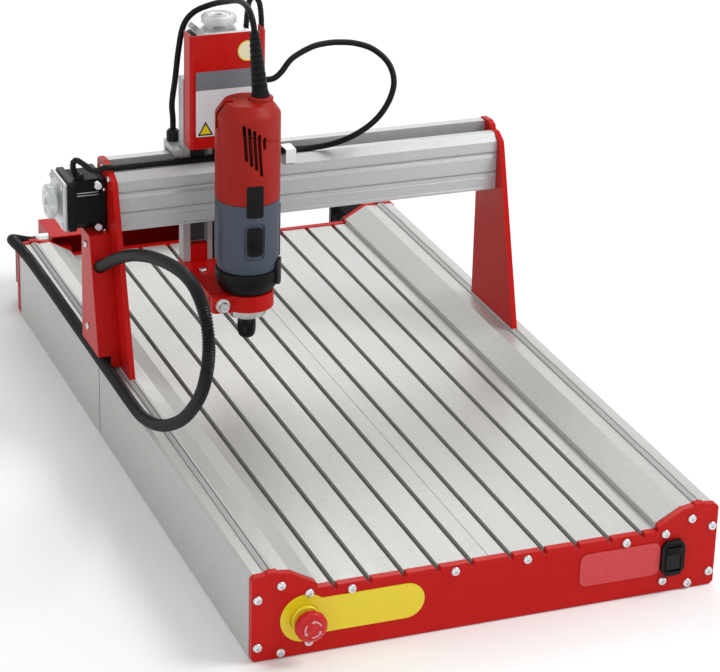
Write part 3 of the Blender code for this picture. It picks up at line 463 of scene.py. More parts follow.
class Solid:
    """Closed bodies gathered into one piece."""

    def __init__(self) -> None:
        """Starts with no body."""
        self.mesh = bmesh.new()

    def block(self, low: Point, high: Point, bevel: float = 0.0, segments: int = 2) -> "Solid":
        """Adds a box between two corners, with its edges rounded."""
        middle = (Vector(low) + Vector(high)) / 2
        size = Vector(high) - Vector(low)
        made = bmesh.ops.create_cube(
            self.mesh, size=1.0, matrix=Matrix.Translation(middle) @ Matrix.Diagonal((*size, 1)),
        )
        if bevel:
            edges = list({edge for vert in made["verts"] for edge in vert.link_edges})
            bmesh.ops.bevel(self.mesh, geom=edges, offset=bevel, segments=segments, affect="EDGES", profile=0.5)
        return self

    def rings(self, rows: Sequence[Sequence[Vector]], closed: bool = False) -> "Solid":
        """Joins rings of equal length into one body.

        Args:
            rows: the rings, in order along the body.
            closed: whether the last ring joins the first; otherwise both ends are capped.
        """
        made = [[self.mesh.verts.new(p) for p in row] for row in rows]
        pairs = list(zip(made, made[1:] + made[:1])) if closed else list(zip(made, made[1:]))
        for first, second in pairs:
            for i in range(len(first)):
                j = (i + 1) % len(first)
                self.mesh.faces.new((first[i], first[j], second[j], second[i]))
        if not closed:
            self.mesh.faces.new(list(reversed(made[0])))
            self.mesh.faces.new(made[-1])
        return self

    def lathe(
        self, profile: Sequence[Pair], origin: Point, axis: Axis, segments: int = 48, closed: bool = False,
        shape: Optional[Callable[[int, float, float], float]] = None,
    ) -> "Solid":
        """Adds a turned body.

        Args:
            profile: (radius, height) pairs, from one end to the other.
            origin: where height 0 lies on the axis.
            axis: the direction of the axis.
            segments: points round the axis.
            closed: whether the profile is a closed ring in section.
            shape: gives the radius at (profile index, angle, radius), for lobes and flats.
        """
        turn = Matrix.Translation(origin) @ axis.turn
        rows = []
        for index, (radius, height) in enumerate(profile):
            row = []
            for i in range(segments):
                angle = 2 * math.pi * i / segments
                r = max(radius, 0.00002)
                if shape:
                    r = shape(index, angle, r)
                row.append(turn @ Vector((r * math.cos(angle), r * math.sin(angle), height)))
            rows.append(row)
        return self.rings(rows, closed)

    def prism(
        self, outline: Sequence[Pair], plane: Plane, low: float, high: float,
        holes: Sequence[Sequence[Pair]] = (),
    ) -> "Solid":
        """Adds a flat outline extruded across its plane, with holes right through."""
        loops = [outline, *holes]
        levels = []
        for depth in (low, high):
            rows = [[self.mesh.verts.new(plane.point(u, v, depth)) for u, v in loop] for loop in loops]
            edges = [
                self.mesh.edges.new((row[i], row[(i + 1) % len(row)]))
                for row in rows for i in range(len(row))
            ]
            bmesh.ops.triangle_fill(self.mesh, edges=edges, use_beauty=True)
            levels.append(rows)
        for first, second in zip(*levels):
            for i in range(len(first)):
                j = (i + 1) % len(first)
                self.mesh.faces.new((first[i], first[j], second[j], second[i]))
        return self

    def tube(self, points: Sequence[Vector], radius: float, sides: int = 14, rib: float = 0.0) -> "Solid":
        """Adds a tube along a route, with ribs where each second ring is drawn in by rib."""
        route = [Vector(p) for p in points]
        tangents = [(b - a).normalized() for a, b in zip([route[0], *route[:-1]], [*route[1:], route[-1]])]
        tangents[0] = (route[1] - route[0]).normalized()
        side = tangents[0].orthogonal().normalized()
        rows = []
        for index, (place, along) in enumerate(zip(route, tangents)):
            side = (side - along * side.dot(along)).normalized()
            other = along.cross(side)
            drawn_in = rib if index % 4 in (2, 3) else 0.0
            angles = [2 * math.pi * i / sides for i in range(sides)]
            rows.append(
                [place + (radius - drawn_in) * (side * math.cos(a) + other * math.sin(a)) for a in angles]
            )
        return self.rings(rows)

    def button_screw(self, place: Point, axis: Axis, radius: float = 0.0047, height: float = 0.0028) -> "Solid":
        """Adds a domed screw head with a six-sided socket, standing on a surface."""
        socket = radius * 0.48

        def flats(index: int, angle: float, r: float) -> float:
            """Turns the socket's rings into hexagons."""
            if index < 5:
                return r
            sixth = math.pi / 3
            return r * math.cos(sixth / 2) / math.cos(angle % sixth - sixth / 2)

        profile = [
            (radius, GAP), (radius, height * 0.30), (radius * 0.90, height * 0.68),
            (radius * 0.74, height * 0.92), (radius * 0.60, height),
            (socket, height * 0.97), (socket, height * 0.35),
        ]
        return self.lathe(profile, place, axis, 24, shape=flats)

    def piece(self, name: str, finish: Finish, body: Optional[str]) -> bpy.types.Object:
        """Makes the gathered bodies into one object that rides on a body of the frame.

        Args:
            name: the piece's name.
            finish: its finish.
            body: the body it rides on, or None where it rides on no body.

        Returns:
            The object.
        """
        bmesh.ops.recalc_face_normals(self.mesh, faces=self.mesh.faces)
        data = bpy.data.meshes.new(name)
        self.mesh.to_mesh(data)
        self.mesh.free()
        data.shade_smooth()
        data.set_sharp_from_angle(angle=SHARP_EDGE)
        made = bpy.data.objects.new(name, data)
        bpy.context.scene.collection.objects.link(made)
        data.materials.append(finish.material())
        if body:
            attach(made, body)
        LOG.info("piece %s on %s", name, body)
        return made


def carve(target: bpy.types.Object, cutters: Sequence[bpy.types.Object]) -> bpy.types.Object:
    """Cuts the cutters out of a finished piece and removes them.

    Args:
        target: the piece, which keeps its name and material.
        cutters: closed bodies in the frame's axes.

    Returns:
        The piece.
    """
    for cutter in cutters:
        step = target.modifiers.new("cut", "BOOLEAN")
        step.operation = "DIFFERENCE"
        step.solver = "EXACT"
        step.object = cutter
    bpy.context.view_layer.update()
    seen = target.evaluated_get(bpy.context.evaluated_depsgraph_get())
    data = bpy.data.meshes.new_from_object(seen)
    target.modifiers.clear()
    old = target.data
    data.name = target.name
    target.data = data
    bpy.data.meshes.remove(old)
    for cutter in cutters:
        bpy.data.objects.remove(cutter)
    data.shade_smooth()
    data.set_sharp_from_angle(angle=SHARP_EDGE)
    return target


def dress(finish: Finish, *nodes: str) -> None:
    """Gives nodes of the frame a finish."""
    for name in nodes:
        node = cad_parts[name]
        for slot in node.material_slots:
            slot.material = finish.material()
        if not node.material_slots:
            node.data.materials.append(finish.material())
        LOG.info("node %s in %s", name, finish.name)


# ---------------------------------------------------------------- base


@dataclass
class Base:
    """The extruded base with its table, end plates, slit lips and drive."""

    half_length: float = 0.440
    body: str = "base"
    plate_screws: tuple[Pair, ...] = (
        (0.237, 0.066), (0.237, 0.0153), (0.214, 0.0775), (0.214, 0.0062), (0.186, 0.065), (0.186, 0.013),
        (0.1434, 0.0623), (0.0377, 0.0623),
    )
    rear_screws: tuple[Pair, ...] = (
        (0.214, 0.0805), (0.1434, 0.0623), (0.1434, 0.0130), (0.0377, 0.0623), (0.0100, 0.0130),
        (-0.0080, 0.0623),
    )
    plate_side: tuple[Pair, ...] = (
        (0.178, 0.069), (0.178, 0.0735), (0.204, 0.0888), (0.2155, 0.0905), (0.2175, 0.0925), (0.2268, 0.0925),
        (0.2290, 0.0904),
        (0.2400, 0.0895), (0.2430, 0.0865), (0.2430, 0.0035), (0.2400, 0.0005),
    )
    lip_reach: float = 0.0040
    plate_thickness: float = 0.008
    slot_start: float = 0.0205
    slot_pitch: float = 0.035
    slots_each_side: int = 5
    motors: tuple[str, ...] = ("left_y_motor", "right_y_motor")

    def build(self) -> None:
        """Dresses the base's nodes and adds its trim."""
        dress(
            BASE_METAL, "left_base_rail", "right_base_rail", "left_table_profile", "right_table_profile",
            "base_floor_plate",
        )
        dress(RED_COAT, "rear_plate", "rear_control_box")
        dress(STEEL, "left_y_guide_rod", "right_y_guide_rod", "left_y_screw", "right_y_screw")
        dress(ZINC, "rear_conduit_gland")
        dress(BLACK_PLASTIC, "power_inlet")
        self.notched_plate()
        self.screws()
        self.lips()
        self.joints()
        self.drive_motors()
        self.rear_vents()

    def notched_plate(self) -> None:
        """The front plate with a round notch before each slot of the table, in place of its plain node."""
        wide, top, deep = 0.0031, 0.069, 0.0636
        outline = [*self.plate_side, *((-x, z) for x, z in reversed(self.plate_side))]
        for centre in sorted(
            side * (
                self.slot_start + self.slot_pitch * i
            ) for side in (-1, 1) for i in range(self.slots_each_side)
        ):
            outline += [
                (centre - wide, top), *arc(centre, deep + wide, wide, 180, 360, 8), (centre + wide, top),
            ]
        stop = circle(*Panel.stop, 0.0084)
        x, z = Panel.switch
        switch = rounded_rectangle((x - 0.0104, z - 0.0164), (x + 0.0104, z + 0.0164), 0.0004, 2)
        plate = Solid().prism(
            outline, Plane.XZ, -self.half_length, -self.half_length + self.plate_thickness, [stop, switch],
        )
        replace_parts(plate.piece("front_plate_notched", RED_COAT, self.body), "front_plate")

    def screws(self) -> None:
        """The button screws of both end plates."""
        front, rear = Solid(), Solid()
        for x, z in self.plate_screws:
            for side in (-1, 1):
                front.button_screw((side * x, -self.half_length, z), Axis.MINUS_Y)
        for x, z in self.rear_screws:
            rear.button_screw((x, self.half_length, z), Axis.Y)
        front.piece("front_plate_screws", ZINC, self.body)
        rear.piece("rear_plate_screws", ZINC, self.body)

    def lip(self, side: int, wall: float, inward: int, wave: float) -> list[list[Vector]]:
        """Sections of one slit lip along the rail.

        Args:
            side: -1 for the left rail, 1 for the right.
            wall: distance of the slit's wall from the middle.
            inward: 1 where the lip reaches outwards from its wall, -1 where it reaches back.
            wave: how far its edge wanders.

        Returns:
            One ring of points for each section.
        """
        rows = []
        for y in np.arange(-0.4310, 0.4311, 0.0050):
            drift = wave * (math.sin(y * 52.0 + side) + 0.6 * math.sin(y * 121.0 + 2.0)) / 1.6
            edge = wall + inward * self.lip_reach + drift
            section = [
                (wall, 0.0893), (wall, 0.0905), (edge, 0.0926), (edge, 0.0920),
                (wall + inward * 0.0006, 0.0893),
            ]
            rows.append([Vector((side * x, y, z)) for x, z in section])
        return rows

    def lips(self) -> None:
        """The flexible lips that close each rail's slit round the moving side plate."""
        for side, name, wave in ((-1, "left", 0.0001), (1, "right", 0.0004)):
            body = Solid()
            body.rings(self.lip(side, 0.2190, 1, wave))
            body.rings(self.lip(side, 0.2280, -1, wave))
            body.piece(name + "_slit_lips", LIP_GREY, self.body)

    def joints(self) -> None:
        """The dark butt joint in the left outer wall and its short cross line."""
        x = -0.2420
        body = Solid()
        body.block((x - 0.00035, 0.0796, 0.0030), (x - 0.00005, 0.0804, 0.0790), 0.0001, 1)
        body.block((x - 0.00035, 0.0804, 0.0290), (x - 0.00005, 0.0840, 0.0296), 0.0001, 1)
        body.piece("left_wall_joint", SEAM_DARK, self.body)

    def drive_motors(self) -> None:
        """The two rear steppers."""
        for name in self.motors:
            low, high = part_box(name)
            middle = ((low[0] + high[0]) / 2, low[1], (low[2] + high[2]) / 2)
            Stepper(
                name + "_shell", name, self.body, middle, Axis.Y, high[1] - low[1], (high[0] - low[0]) / 2,
                bored=0.0060,
            ).build()

    def rear_vents(self) -> None:
        """Louvres on the rear box and its corner screws."""
        louvres, heads = Solid(), Solid()
        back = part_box("rear_control_box")[1][1]
        for i in range(7):
            x = -0.150 + i * 0.014
            louvres.block((x, back + 0.0001, 0.040), (x + 0.004, back + 0.0012, 0.072), 0.0005, 2)
        for x in (-0.168, -0.034):
            for z in (0.026, 0.084):
                heads.button_screw((x, back, z), Axis.Y, 0.0035, 0.0020)
        louvres.piece("rear_box_louvres", RED_COAT, self.body)
        heads.piece("rear_box_screws", ZINC, self.body)


@dataclass
class Stepper:
    """A stepper motor: flange, stacked sheets and rear bell, bored along its axis, in place of its plain node.
    """

    name: str
    node: str
    body: str
    face: Point
    axis: Axis
    length: float
    half: float
    bored: float = 0.0050
    closed_end: bool = True

    def section(self, half: float, cut: float, depth: float) -> list[Vector]:
        """One eight-cornered section of the motor at a depth from its mounting face."""
        corners = [(half, -half + cut), (half, half - cut), (half - cut, half), (-half + cut, half)]
        corners += [(-u, -v) for u, v in corners]
        return [self.at(u, v, depth) for u, v in corners]

    def at(self, u: float, v: float, depth: float) -> Vector:
        """A point at a depth from the mounting face and u, v across it."""
        across = Vector((0, 1, 0)) if self.axis in (Axis.X, Axis.MINUS_X) else Vector((1, 0, 0))
        up = Vector((0, 1, 0)) if self.axis is Axis.Z else Vector((0, 0, 1))
        return Vector(self.face) + self.axis.vector * depth + across * u + up * v

    def build(self) -> None:
        """Builds the shell and the stack, and bores them."""
        h, end = self.half, self.length
        bell = Solid()
        for start, stop in ((0.0, 0.0062), (end - 0.0085, end)):
            cuts = [
                (h - 0.0008, 0.0038, start), (h, 0.0030, start + 0.0007), (h, 0.0030, stop - 0.0007),
                (h - 0.0008, 0.0038, stop),
            ]
            bell.rings([self.section(*cut) for cut in cuts])
        shell = bell.piece(self.name, MOTOR_BLACK, self.body)
        stack = Solid()
        rows = []
        count = max(6, int((end - 0.0147) / 0.0022))
        for i in range(count + 1):
            depth = 0.0062 + (end - 0.0147) * i / count
            for inset, nudge in ((0.0011, -0.00015), (0.0007, 0.00015)):
                if 0 < i < count or (i == 0) == (nudge > 0):
                    rows.append(self.section(h - inset, 0.0085, depth + nudge))
        stack.rings(rows)
        core = stack.piece(self.name + "_stack", STACK_BLACK, self.body)
        drill = Solid().lathe(
            [(self.bored, -0.02), (self.bored, end - (0.020 if self.closed_end else -0.02))], self.face,
            self.axis, 32,
        )
        cutter = drill.piece(self.name + "_drill", STEEL, None)
        other = cutter.copy()
        other.data = cutter.data.copy()
        bpy.context.scene.collection.objects.link(other)
        carve(shell, [cutter])
        carve(core, [other])
        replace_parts(shell, self.node)


# ---------------------------------------------------------------- panel controls


@dataclass
class Panel:
    """The emergency stop, the power switch and their label plates on the front plate."""

    face: float = -0.440
    stop: Pair = (-0.190, 0.039)
    switch: Pair = (0.1947, 0.0385)

    def build(self) -> None:
        """Dresses the controls and adds labels, arrows and ribs."""
        dress(LABEL_YELLOW, "estop_housing")
        dress(BLACK_PLASTIC, "power_switch_frame")
        self.stop_button()
        self.labels()
        self.rocker()

    def stop_button(self) -> None:
        """The mushroom button with its turned rim and three turning arrows."""
        x, z = self.stop
        head = Solid()
        profile = [
            (0.00002, -0.0100), (0.0055, -0.0100), (0.0055, 0.0000), (0.0132, 0.0000), (0.0152, 0.0012),
            (0.0160, 0.0036), (0.0160, 0.0062),
            (0.0156, 0.0078), (0.0146, 0.0092), (0.0128, 0.0106), (0.0105, 0.0116), (0.0098, 0.0112),
            (0.0060, 0.0121), (0.00002, 0.0125),
        ]

        def grip(index: int, angle: float, r: float) -> float:
            """Shallow flutes round the rim."""
            return r - 0.00035 * (1 + math.cos(12 * angle)) / 2 if 4 <= index <= 8 else r

        head.lathe(profile, (x, self.face - 0.0120, z), Axis.MINUS_Y, 72, shape=grip)
        button = head.piece("estop_button_head", STOP_RED, "stop_button")
        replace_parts(button, "estop_button")
        arrows = Solid()
        front = self.face - 0.0238
        for start in (20, 140, 260):
            outer = arc(x, z, 0.0090, start, start + 62, 8)
            inner = arc(x, z, 0.0074, start + 62, start, 8)
            tip = [
                (x + r * math.cos(math.radians(start + a)), z + r * math.sin(math.radians(start + a)))
                for r, a in ((0.0103, 62), (0.0082, 86), (0.0061, 62))
            ]
            arrows.prism([*outer, *tip, *inner], Plane.XZ, front - 0.0006, front + 0.0008)
        arrows.piece("estop_arrows", MARK_PALE, "stop_button")

    def labels(self) -> None:
        """Blank label plates: a yellow one round the stop, a pale red one beside the switch."""
        x, z = self.stop[0], 0.0394
        low, high = self.face - 0.0010, self.face - GAP
        tail, big = 0.0186, 0.0248
        meet = math.degrees(math.asin(tail / big))
        outline = arc(-0.0876, z, tail, -90, 90, 20) + arc(x, z, big, meet, 360 - meet, 56)
        hole = circle(self.stop[0], self.stop[1], 0.0150, 40)
        Solid().prism(outline, Plane.XZ, low, high, [hole]).piece("stop_label", LABEL_YELLOW, "base")
        left, right = 0.0945, 0.1815
        switch = rounded_rectangle((left, 0.0215), (right, 0.0570), 0.0080)
        Solid().prism(switch, Plane.XZ, low, high).piece("power_label", LABEL_RED, "base")
        rim = rounded_rectangle((left + 0.0012, 0.0227), (right - 0.0012, 0.0558), 0.0070)
        inner = rounded_rectangle((left + 0.0018, 0.0233), (right - 0.0018, 0.0552), 0.0066)
        Solid().prism(rim, Plane.XZ, low - 0.0002, low - 0.00002, [inner]).piece(
            "power_label_rim", Finish("label_rim_red", "red_coat", (0.62, 0.07, 0.07), 0.30), "base",
        )

    def rocker(self) -> None:
        """The power rocker with ribs across its face."""
        x, z = self.switch
        f = self.face
        outline = [
            (f - 0.0068, z + 0.0120), (f - 0.0060, z + 0.0080), (f - 0.0051, z + 0.0040), (f - 0.0048, z),
            (f - 0.0048, z - 0.0060),
            (f - 0.0052, z - 0.0120), (f - 0.0010, z - 0.0120), (f + 0.0060, z - 0.0040),
            (f + 0.0060, z + 0.0040), (f - 0.0010, z + 0.0120),
        ]
        body = Solid().prism(outline, Plane.YZ, x - 0.0072, x + 0.0072)
        for i in range(4):
            v = z + 0.0050 + i * 0.0018
            body.block((x - 0.0060, f - 0.0074, v), (x + 0.0060, f - 0.0045, v + 0.0007), 0.0002, 1)
        made = body.piece("power_rocker_key", BLACK_PLASTIC, "power_key")
        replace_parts(made, "power_rocker")
        rim = Solid()
        outer = [
            (x - 0.0085, z - 0.0148), (x + 0.0085, z - 0.0148), (x + 0.0085, z + 0.0148),
            (x - 0.0085, z + 0.0148),
        ]
        inner = [
            (x - 0.0079, z - 0.0141), (x + 0.0079, z - 0.0141), (x + 0.0079, z + 0.0141),
            (x - 0.0079, z + 0.0141),
        ]
        rim.prism(outer, Plane.XZ, f - 0.0055, f - 0.0046, [inner])
        rim.piece("power_switch_rim", BLACK_PLASTIC, "base")


# ---------------------------------------------------------------- gantry


@dataclass
class Gantry:
    """The side plates, the beam, the cross drive and the drive cover."""

    body: str = "gantry"
    screw_y: float = 0.120
    screw_z: float = 0.264
    outer: float = 0.2265
    cover_face: float = -0.2500

    def build(self) -> None:
        """Dresses the gantry and adds its trim."""
        dress(RED_COAT, "left_side_plate", "right_side_plate", "left_drive_cover")
        dress(BEAM_METAL, "beam_front_profile", "beam_rear_profile")
        dress(STEEL, "x_guide_rod_lower", "x_guide_rod_upper", "x_screw", "cable_clip")
        dress(COLUMN_METAL, "left_y_carriage", "right_y_carriage")
        dress(CAST_METAL, "x_motor_end_cap")
        self.plate_screws()
        self.motor()
        self.wheel()
        self.grooves()

    def plate_screws(self) -> None:
        """Screws through the side plates into the beam and the Y carriages."""
        heads = Solid()
        for y, z in ((0.0845, 0.2850), (0.0845, 0.2500), (0.1210, 0.2950), (0.1210, 0.2460)):
            heads.button_screw((self.outer, y, z), Axis.X, 0.0050, 0.0030)
        heads.piece("right_plate_screws", ZINC, self.body)
        inner = Solid()
        for y, z in ((0.0850, 0.2950), (0.1080, 0.3010)):
            inner.button_screw((-self.outer, y, z), Axis.MINUS_X, 0.0034, 0.0022)
        inner.piece("left_plate_screws", ZINC, self.body)
        cover = Solid()
        for y, z in ((0.0960, 0.2200), (0.0930, 0.1250)):
            cover.button_screw((self.cover_face, y, z), Axis.MINUS_X, 0.0040, 0.0024)
        cover.piece("drive_cover_screws", ZINC, self.body)

    def motor(self) -> None:
        """The cross motor with its socket bolts, in place of its plain node."""
        low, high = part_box("x_motor_body")
        face = (high[0], self.screw_y, self.screw_z)
        Stepper(
            "x_motor_shell", "x_motor_body", self.body, face, Axis.MINUS_X, high[0] - low[0],
            (high[1] - low[1]) / 2, bored=0.0050, closed_end=False,
        ).build()
        bolts = Solid()
        front = low[1]
        for z in (0.2880, 0.2410):
            bolts.lathe(
                [(0.0042, 0.0003), (0.0042, 0.0050), (0.0037, 0.0056), (0.0020, 0.0056), (0.0020, 0.0030)],
                (-0.2375, front, z), Axis.MINUS_Y, 24,
            )
            bolts.lathe(
                [(0.0016, 0.0003), (0.0016, 0.0016), (0.0010, 0.0020)], (-0.2300, front, z - 0.006),
                Axis.MINUS_Y, 16,
            )
        bolts.piece("x_motor_bolts", ZINC, self.body)
        # Painted highlights: two light metal strips across the black motor's front stand for the light caught
        # in its grooves.
        lines = Solid()
        for z in (0.2795, 0.2765):
            lines.block((-0.2600, front - 0.0006, z), (-0.2360, front + 0.0010, z + 0.0008), 0.0003, 1)
        lines.piece("x_motor_groove_highlights", CAST_METAL, self.body)
        ends = Solid()
        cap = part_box("x_motor_end_cap")[0][0]
        for side in (-1, 1):
            for rise in (-1, 1):
                ends.button_screw(
                    (cap, self.screw_y + side * 0.0215, self.screw_z + rise * 0.0215), Axis.MINUS_X, 0.0030,
                    0.0018,
                )
        ends.piece("x_motor_cap_screws", ZINC, self.body)

    def wheel(self) -> None:
        """The clear hand wheel on the cross screw."""
        _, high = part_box("x_handwheel")
        HandWheel(
            "x_handwheel_knob", "x_handwheel", "x_drive_screw", (high[0], self.screw_y, self.screw_z),
            Axis.MINUS_X,
        ).build()

    def grooves(self) -> None:
        """Painted highlights: light strips on the beam's face that stand for the light caught by its grooves.
        """
        bands = Solid()
        # Painted highlight strips along the beam's grooves.
        for z, tall in ((0.2745, 0.0040), (0.2518, 0.0010), (0.2402, 0.0010)):
            bands.block((-0.2199, 0.07575, z), (0.2199, 0.07605, z + tall), 0.00008, 1)
        bands.piece(
            "beam_groove_highlights",
            Finish(
                "painted_groove_highlight", "aluminium", (0.56, 0.57, 0.58), 0.26, metallic=0.5, grain_scale=420.0,
                grain_stretch=(0.012, 1.0, 1.0),
            ),
            self.body,
        )


@dataclass
class HandWheel:
    """A clear lobed hand wheel with a metal hub, in place of its plain node."""

    name: str
    node: str
    body: str
    origin: Point
    axis: Axis
    radius: float = 0.019

    def build(self) -> None:
        """Builds the wheel and its hub."""
        r = self.radius
        profile = [
            (0.0044, 0.0002), (0.0072, 0.0002), (0.0072, 0.0028), (r - 0.0018, 0.0030), (r - 0.0004, 0.0040),
            (r, 0.0052), (r, 0.0098),
            (r - 0.0004, 0.0110), (r - 0.0018, 0.0119), (r - 0.0060, 0.0119), (r - 0.0070, 0.0106),
            (0.0074, 0.0106), (0.0066, 0.0119), (0.0044, 0.0119),
        ]

        def lobes(index: int, angle: float, radius: float) -> float:
            """Finger lobes round the rim."""
            return radius - 0.0007 * (1 + math.cos(10 * angle)) / 2 if 3 <= index <= 8 else radius

        wheel = Solid().lathe(
            profile, self.origin, self.axis, 80, closed=True, shape=lobes,
        ).piece(self.name, CLEAR_KNOB, self.body)
        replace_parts(wheel, self.node)
        hub = Solid().lathe(
            [(0.0041, 0.0040), (0.0043, 0.0040), (0.0043, 0.0117), (0.0041, 0.0117)], self.origin, self.axis,
            32, closed=True,
        )
        hub.piece(self.name + "_hub", STEEL, self.body)


# ---------------------------------------------------------------- carriage and column


@dataclass
class Tower:
    """The cross carriage, the column, its motor, its cover and the collar bracket."""

    x: float = -0.0975
    lift_y: float = 0.105
    label_depth: Pair = (0.0712, 0.0719)
    body: str = "z_head"

    def build(self) -> None:
        """Dresses the column's nodes and adds its trim."""
        dress(COLUMN_METAL, "z_column", "x_carriage_block")
        dress(BRASS, "z_nut")
        dress(BLACK_PLASTIC, "tool_cable_gland")
        dress(CAST_METAL, "z_motor_end_cap")
        dress(STEEL, "z_screw")
        dress(RED_COAT, "tower_cover", "spindle_bracket")
        self.motor()
        self.labels()
        self.recess_and_slot_shade()
        self.sleeve()
        self.carriage_screws()
        self.clamp()

    def clamp(self) -> None:
        """The collar's clamp screw with its socketed head and its washer, in place of its plain node."""

        def socket(index: int, angle: float, r: float) -> float:
            """Knurls round the head and six flats in the socket."""
            if 3 <= index <= 5:
                return r - 0.0002 * (1 + math.cos(20 * angle)) / 2
            sixth = math.pi / 3
            return r * math.cos(sixth / 2) / math.cos(angle % sixth - sixth / 2) if index >= 7 else r

        profile = [
            (0.0025, -0.0300), (0.0025, GAP), (0.0080, GAP), (0.0055, 0.0019), (0.0055, 0.0074),
            (0.0050, 0.0085), (0.0040, 0.0085), (0.0029, 0.0084), (0.0029, 0.0040),
        ]
        profile.insert(3, (0.0078, 0.0018))
        body = Solid().lathe(profile, (self.x - 0.0335, -0.0125, 0.17655), Axis.MINUS_Y, 60, shape=socket)
        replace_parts(body.piece("clamp_screw_socketed", ZINC, self.body), "clamp_screw")

    def motor(self) -> None:
        """The lift motor and its hand wheel."""
        low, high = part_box("z_motor_body")
        face = (self.x, self.lift_y, low[2])
        Stepper(
            "z_motor_shell", "z_motor_body", self.body, face, Axis.Z, high[2] - low[2], (high[0] - low[0]) / 2,
            bored=0.0050, closed_end=False,
        ).build()
        low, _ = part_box("z_handwheel")
        HandWheel(
            "z_handwheel_knob", "z_handwheel", "z_drive_screw", (self.x, self.lift_y, low[2]), Axis.Z,
        ).build()

    def labels(self) -> None:
        """Blank label plates on the cover's front."""
        low, high = self.label_depth
        white = rounded_rectangle((self.x - 0.0360, 0.3370), (self.x + 0.0375, 0.3886), 0.0012, 3)
        band = rounded_rectangle((self.x - 0.0360, 0.3890), (self.x + 0.0375, 0.4090), 0.0012, 3)
        Solid().prism(white, Plane.XZ, low, high).piece("tower_label", LABEL_WHITE, self.body)
        Solid().prism(band, Plane.XZ, low, high).piece("tower_label_band", LABEL_GREY, self.body)
        Solid().prism(
            circle(-0.0760, 0.4285, 0.0112, 40), Plane.XZ, low, high,
        ).piece("tower_round_label", LABEL_CREAM, self.body)
        ring = Solid().prism(
            circle(-0.0760, 0.4285, 0.0112, 40), Plane.XZ, low - 0.0002, low - 0.00002,
            [circle(-0.0760, 0.4285, 0.0100, 40)],
        )
        ring.piece("tower_round_label_rim", LABEL_YELLOW, self.body)
        triangle = [(-0.1315, 0.3385), (-0.1145, 0.3385), (-0.1230, 0.3540)]
        inner = [(-0.1290, 0.3400), (-0.1170, 0.3400), (-0.1230, 0.3510)]
        Solid().prism(
            triangle, Plane.XZ, low - 0.0002, low - 0.00002, [inner],
        ).piece("tower_triangle_rim", BLACK_PLASTIC, self.body)
        Solid().prism(
            inner, Plane.XZ, low - 0.0002, low - 0.00002,
        ).piece("tower_triangle", LABEL_YELLOW, self.body)

    def recess_and_slot_shade(self) -> None:
        """Painted shade: dark grey strips at the bottom of the column's side recesses, and near-black strips in
        its shallow front slots.
        """
        # Painted shade: dark grey strips where the side recesses lie in shade.
        strips = Solid()
        for side in (-1, 1):
            inner, outer = sorted((self.x + side * 0.0160, self.x + side * 0.0345))
            strips.block((inner, 0.1046, 0.2060), (outer, 0.10495, 0.3220), 0.0001, 1)
        strips.piece(
            "column_recess_painted_shade",
            Finish("painted_recess_shade", "black_plastic", (0.055, 0.055, 0.058), 0.5, mottle=0.08), self.body,
        )
        # Painted shade: near-black sheets laid in the shallow front slots.
        grooves = Solid()
        for side in (-1, 1):
            inner, outer = sorted((self.x + side * 0.0072, self.x + side * 0.0098))
            grooves.block((inner, 0.0961, 0.1862), (outer, 0.09645, 0.3940), 0.0001, 1)
        grooves.piece("column_slot_painted_shade", SLOT_SHADE_BLACK, self.body)

    def sleeve(self) -> None:
        """The lift motor's sleeved lead, which loops over the cover's back corner."""
        route = [
            (-0.0655, 0.1090, 0.4410), (-0.0635, 0.1110, 0.4560), (-0.0610, 0.1120, 0.4690),
            (-0.0560, 0.1115, 0.4740), (-0.0510, 0.1090, 0.4690),
            (-0.0495, 0.1060, 0.4540), (-0.0500, 0.1030, 0.4360), (-0.0510, 0.1010, 0.4180),
            (-0.0540, 0.1010, 0.4020),
        ]
        Solid().tube(
            smooth_route(route, 0.0008), 0.0033, 12, rib=0.0005,
        ).piece("z_motor_sleeve", CONDUIT_BLACK, self.body)

    def carriage_screws(self) -> None:
        """Screws in the carriage block's back."""
        heads = Solid()
        _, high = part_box("x_carriage_block")
        for side in (-1, 1):
            for z in (0.2520, 0.2900):
                heads.button_screw((self.x + side * 0.042, high[1], z), Axis.Y, 0.0045, 0.0028)
        heads.piece("carriage_back_screws", ZINC, "x_carriage")
        plate = Solid()
        for side in (-1, 1):
            plate.button_screw((self.x + side * 0.0300, 0.0660, 0.1855), Axis.Z, 0.0042, 0.0030)
        plate.piece("bracket_screws", ZINC, self.body)


# ---------------------------------------------------------------- milling motor


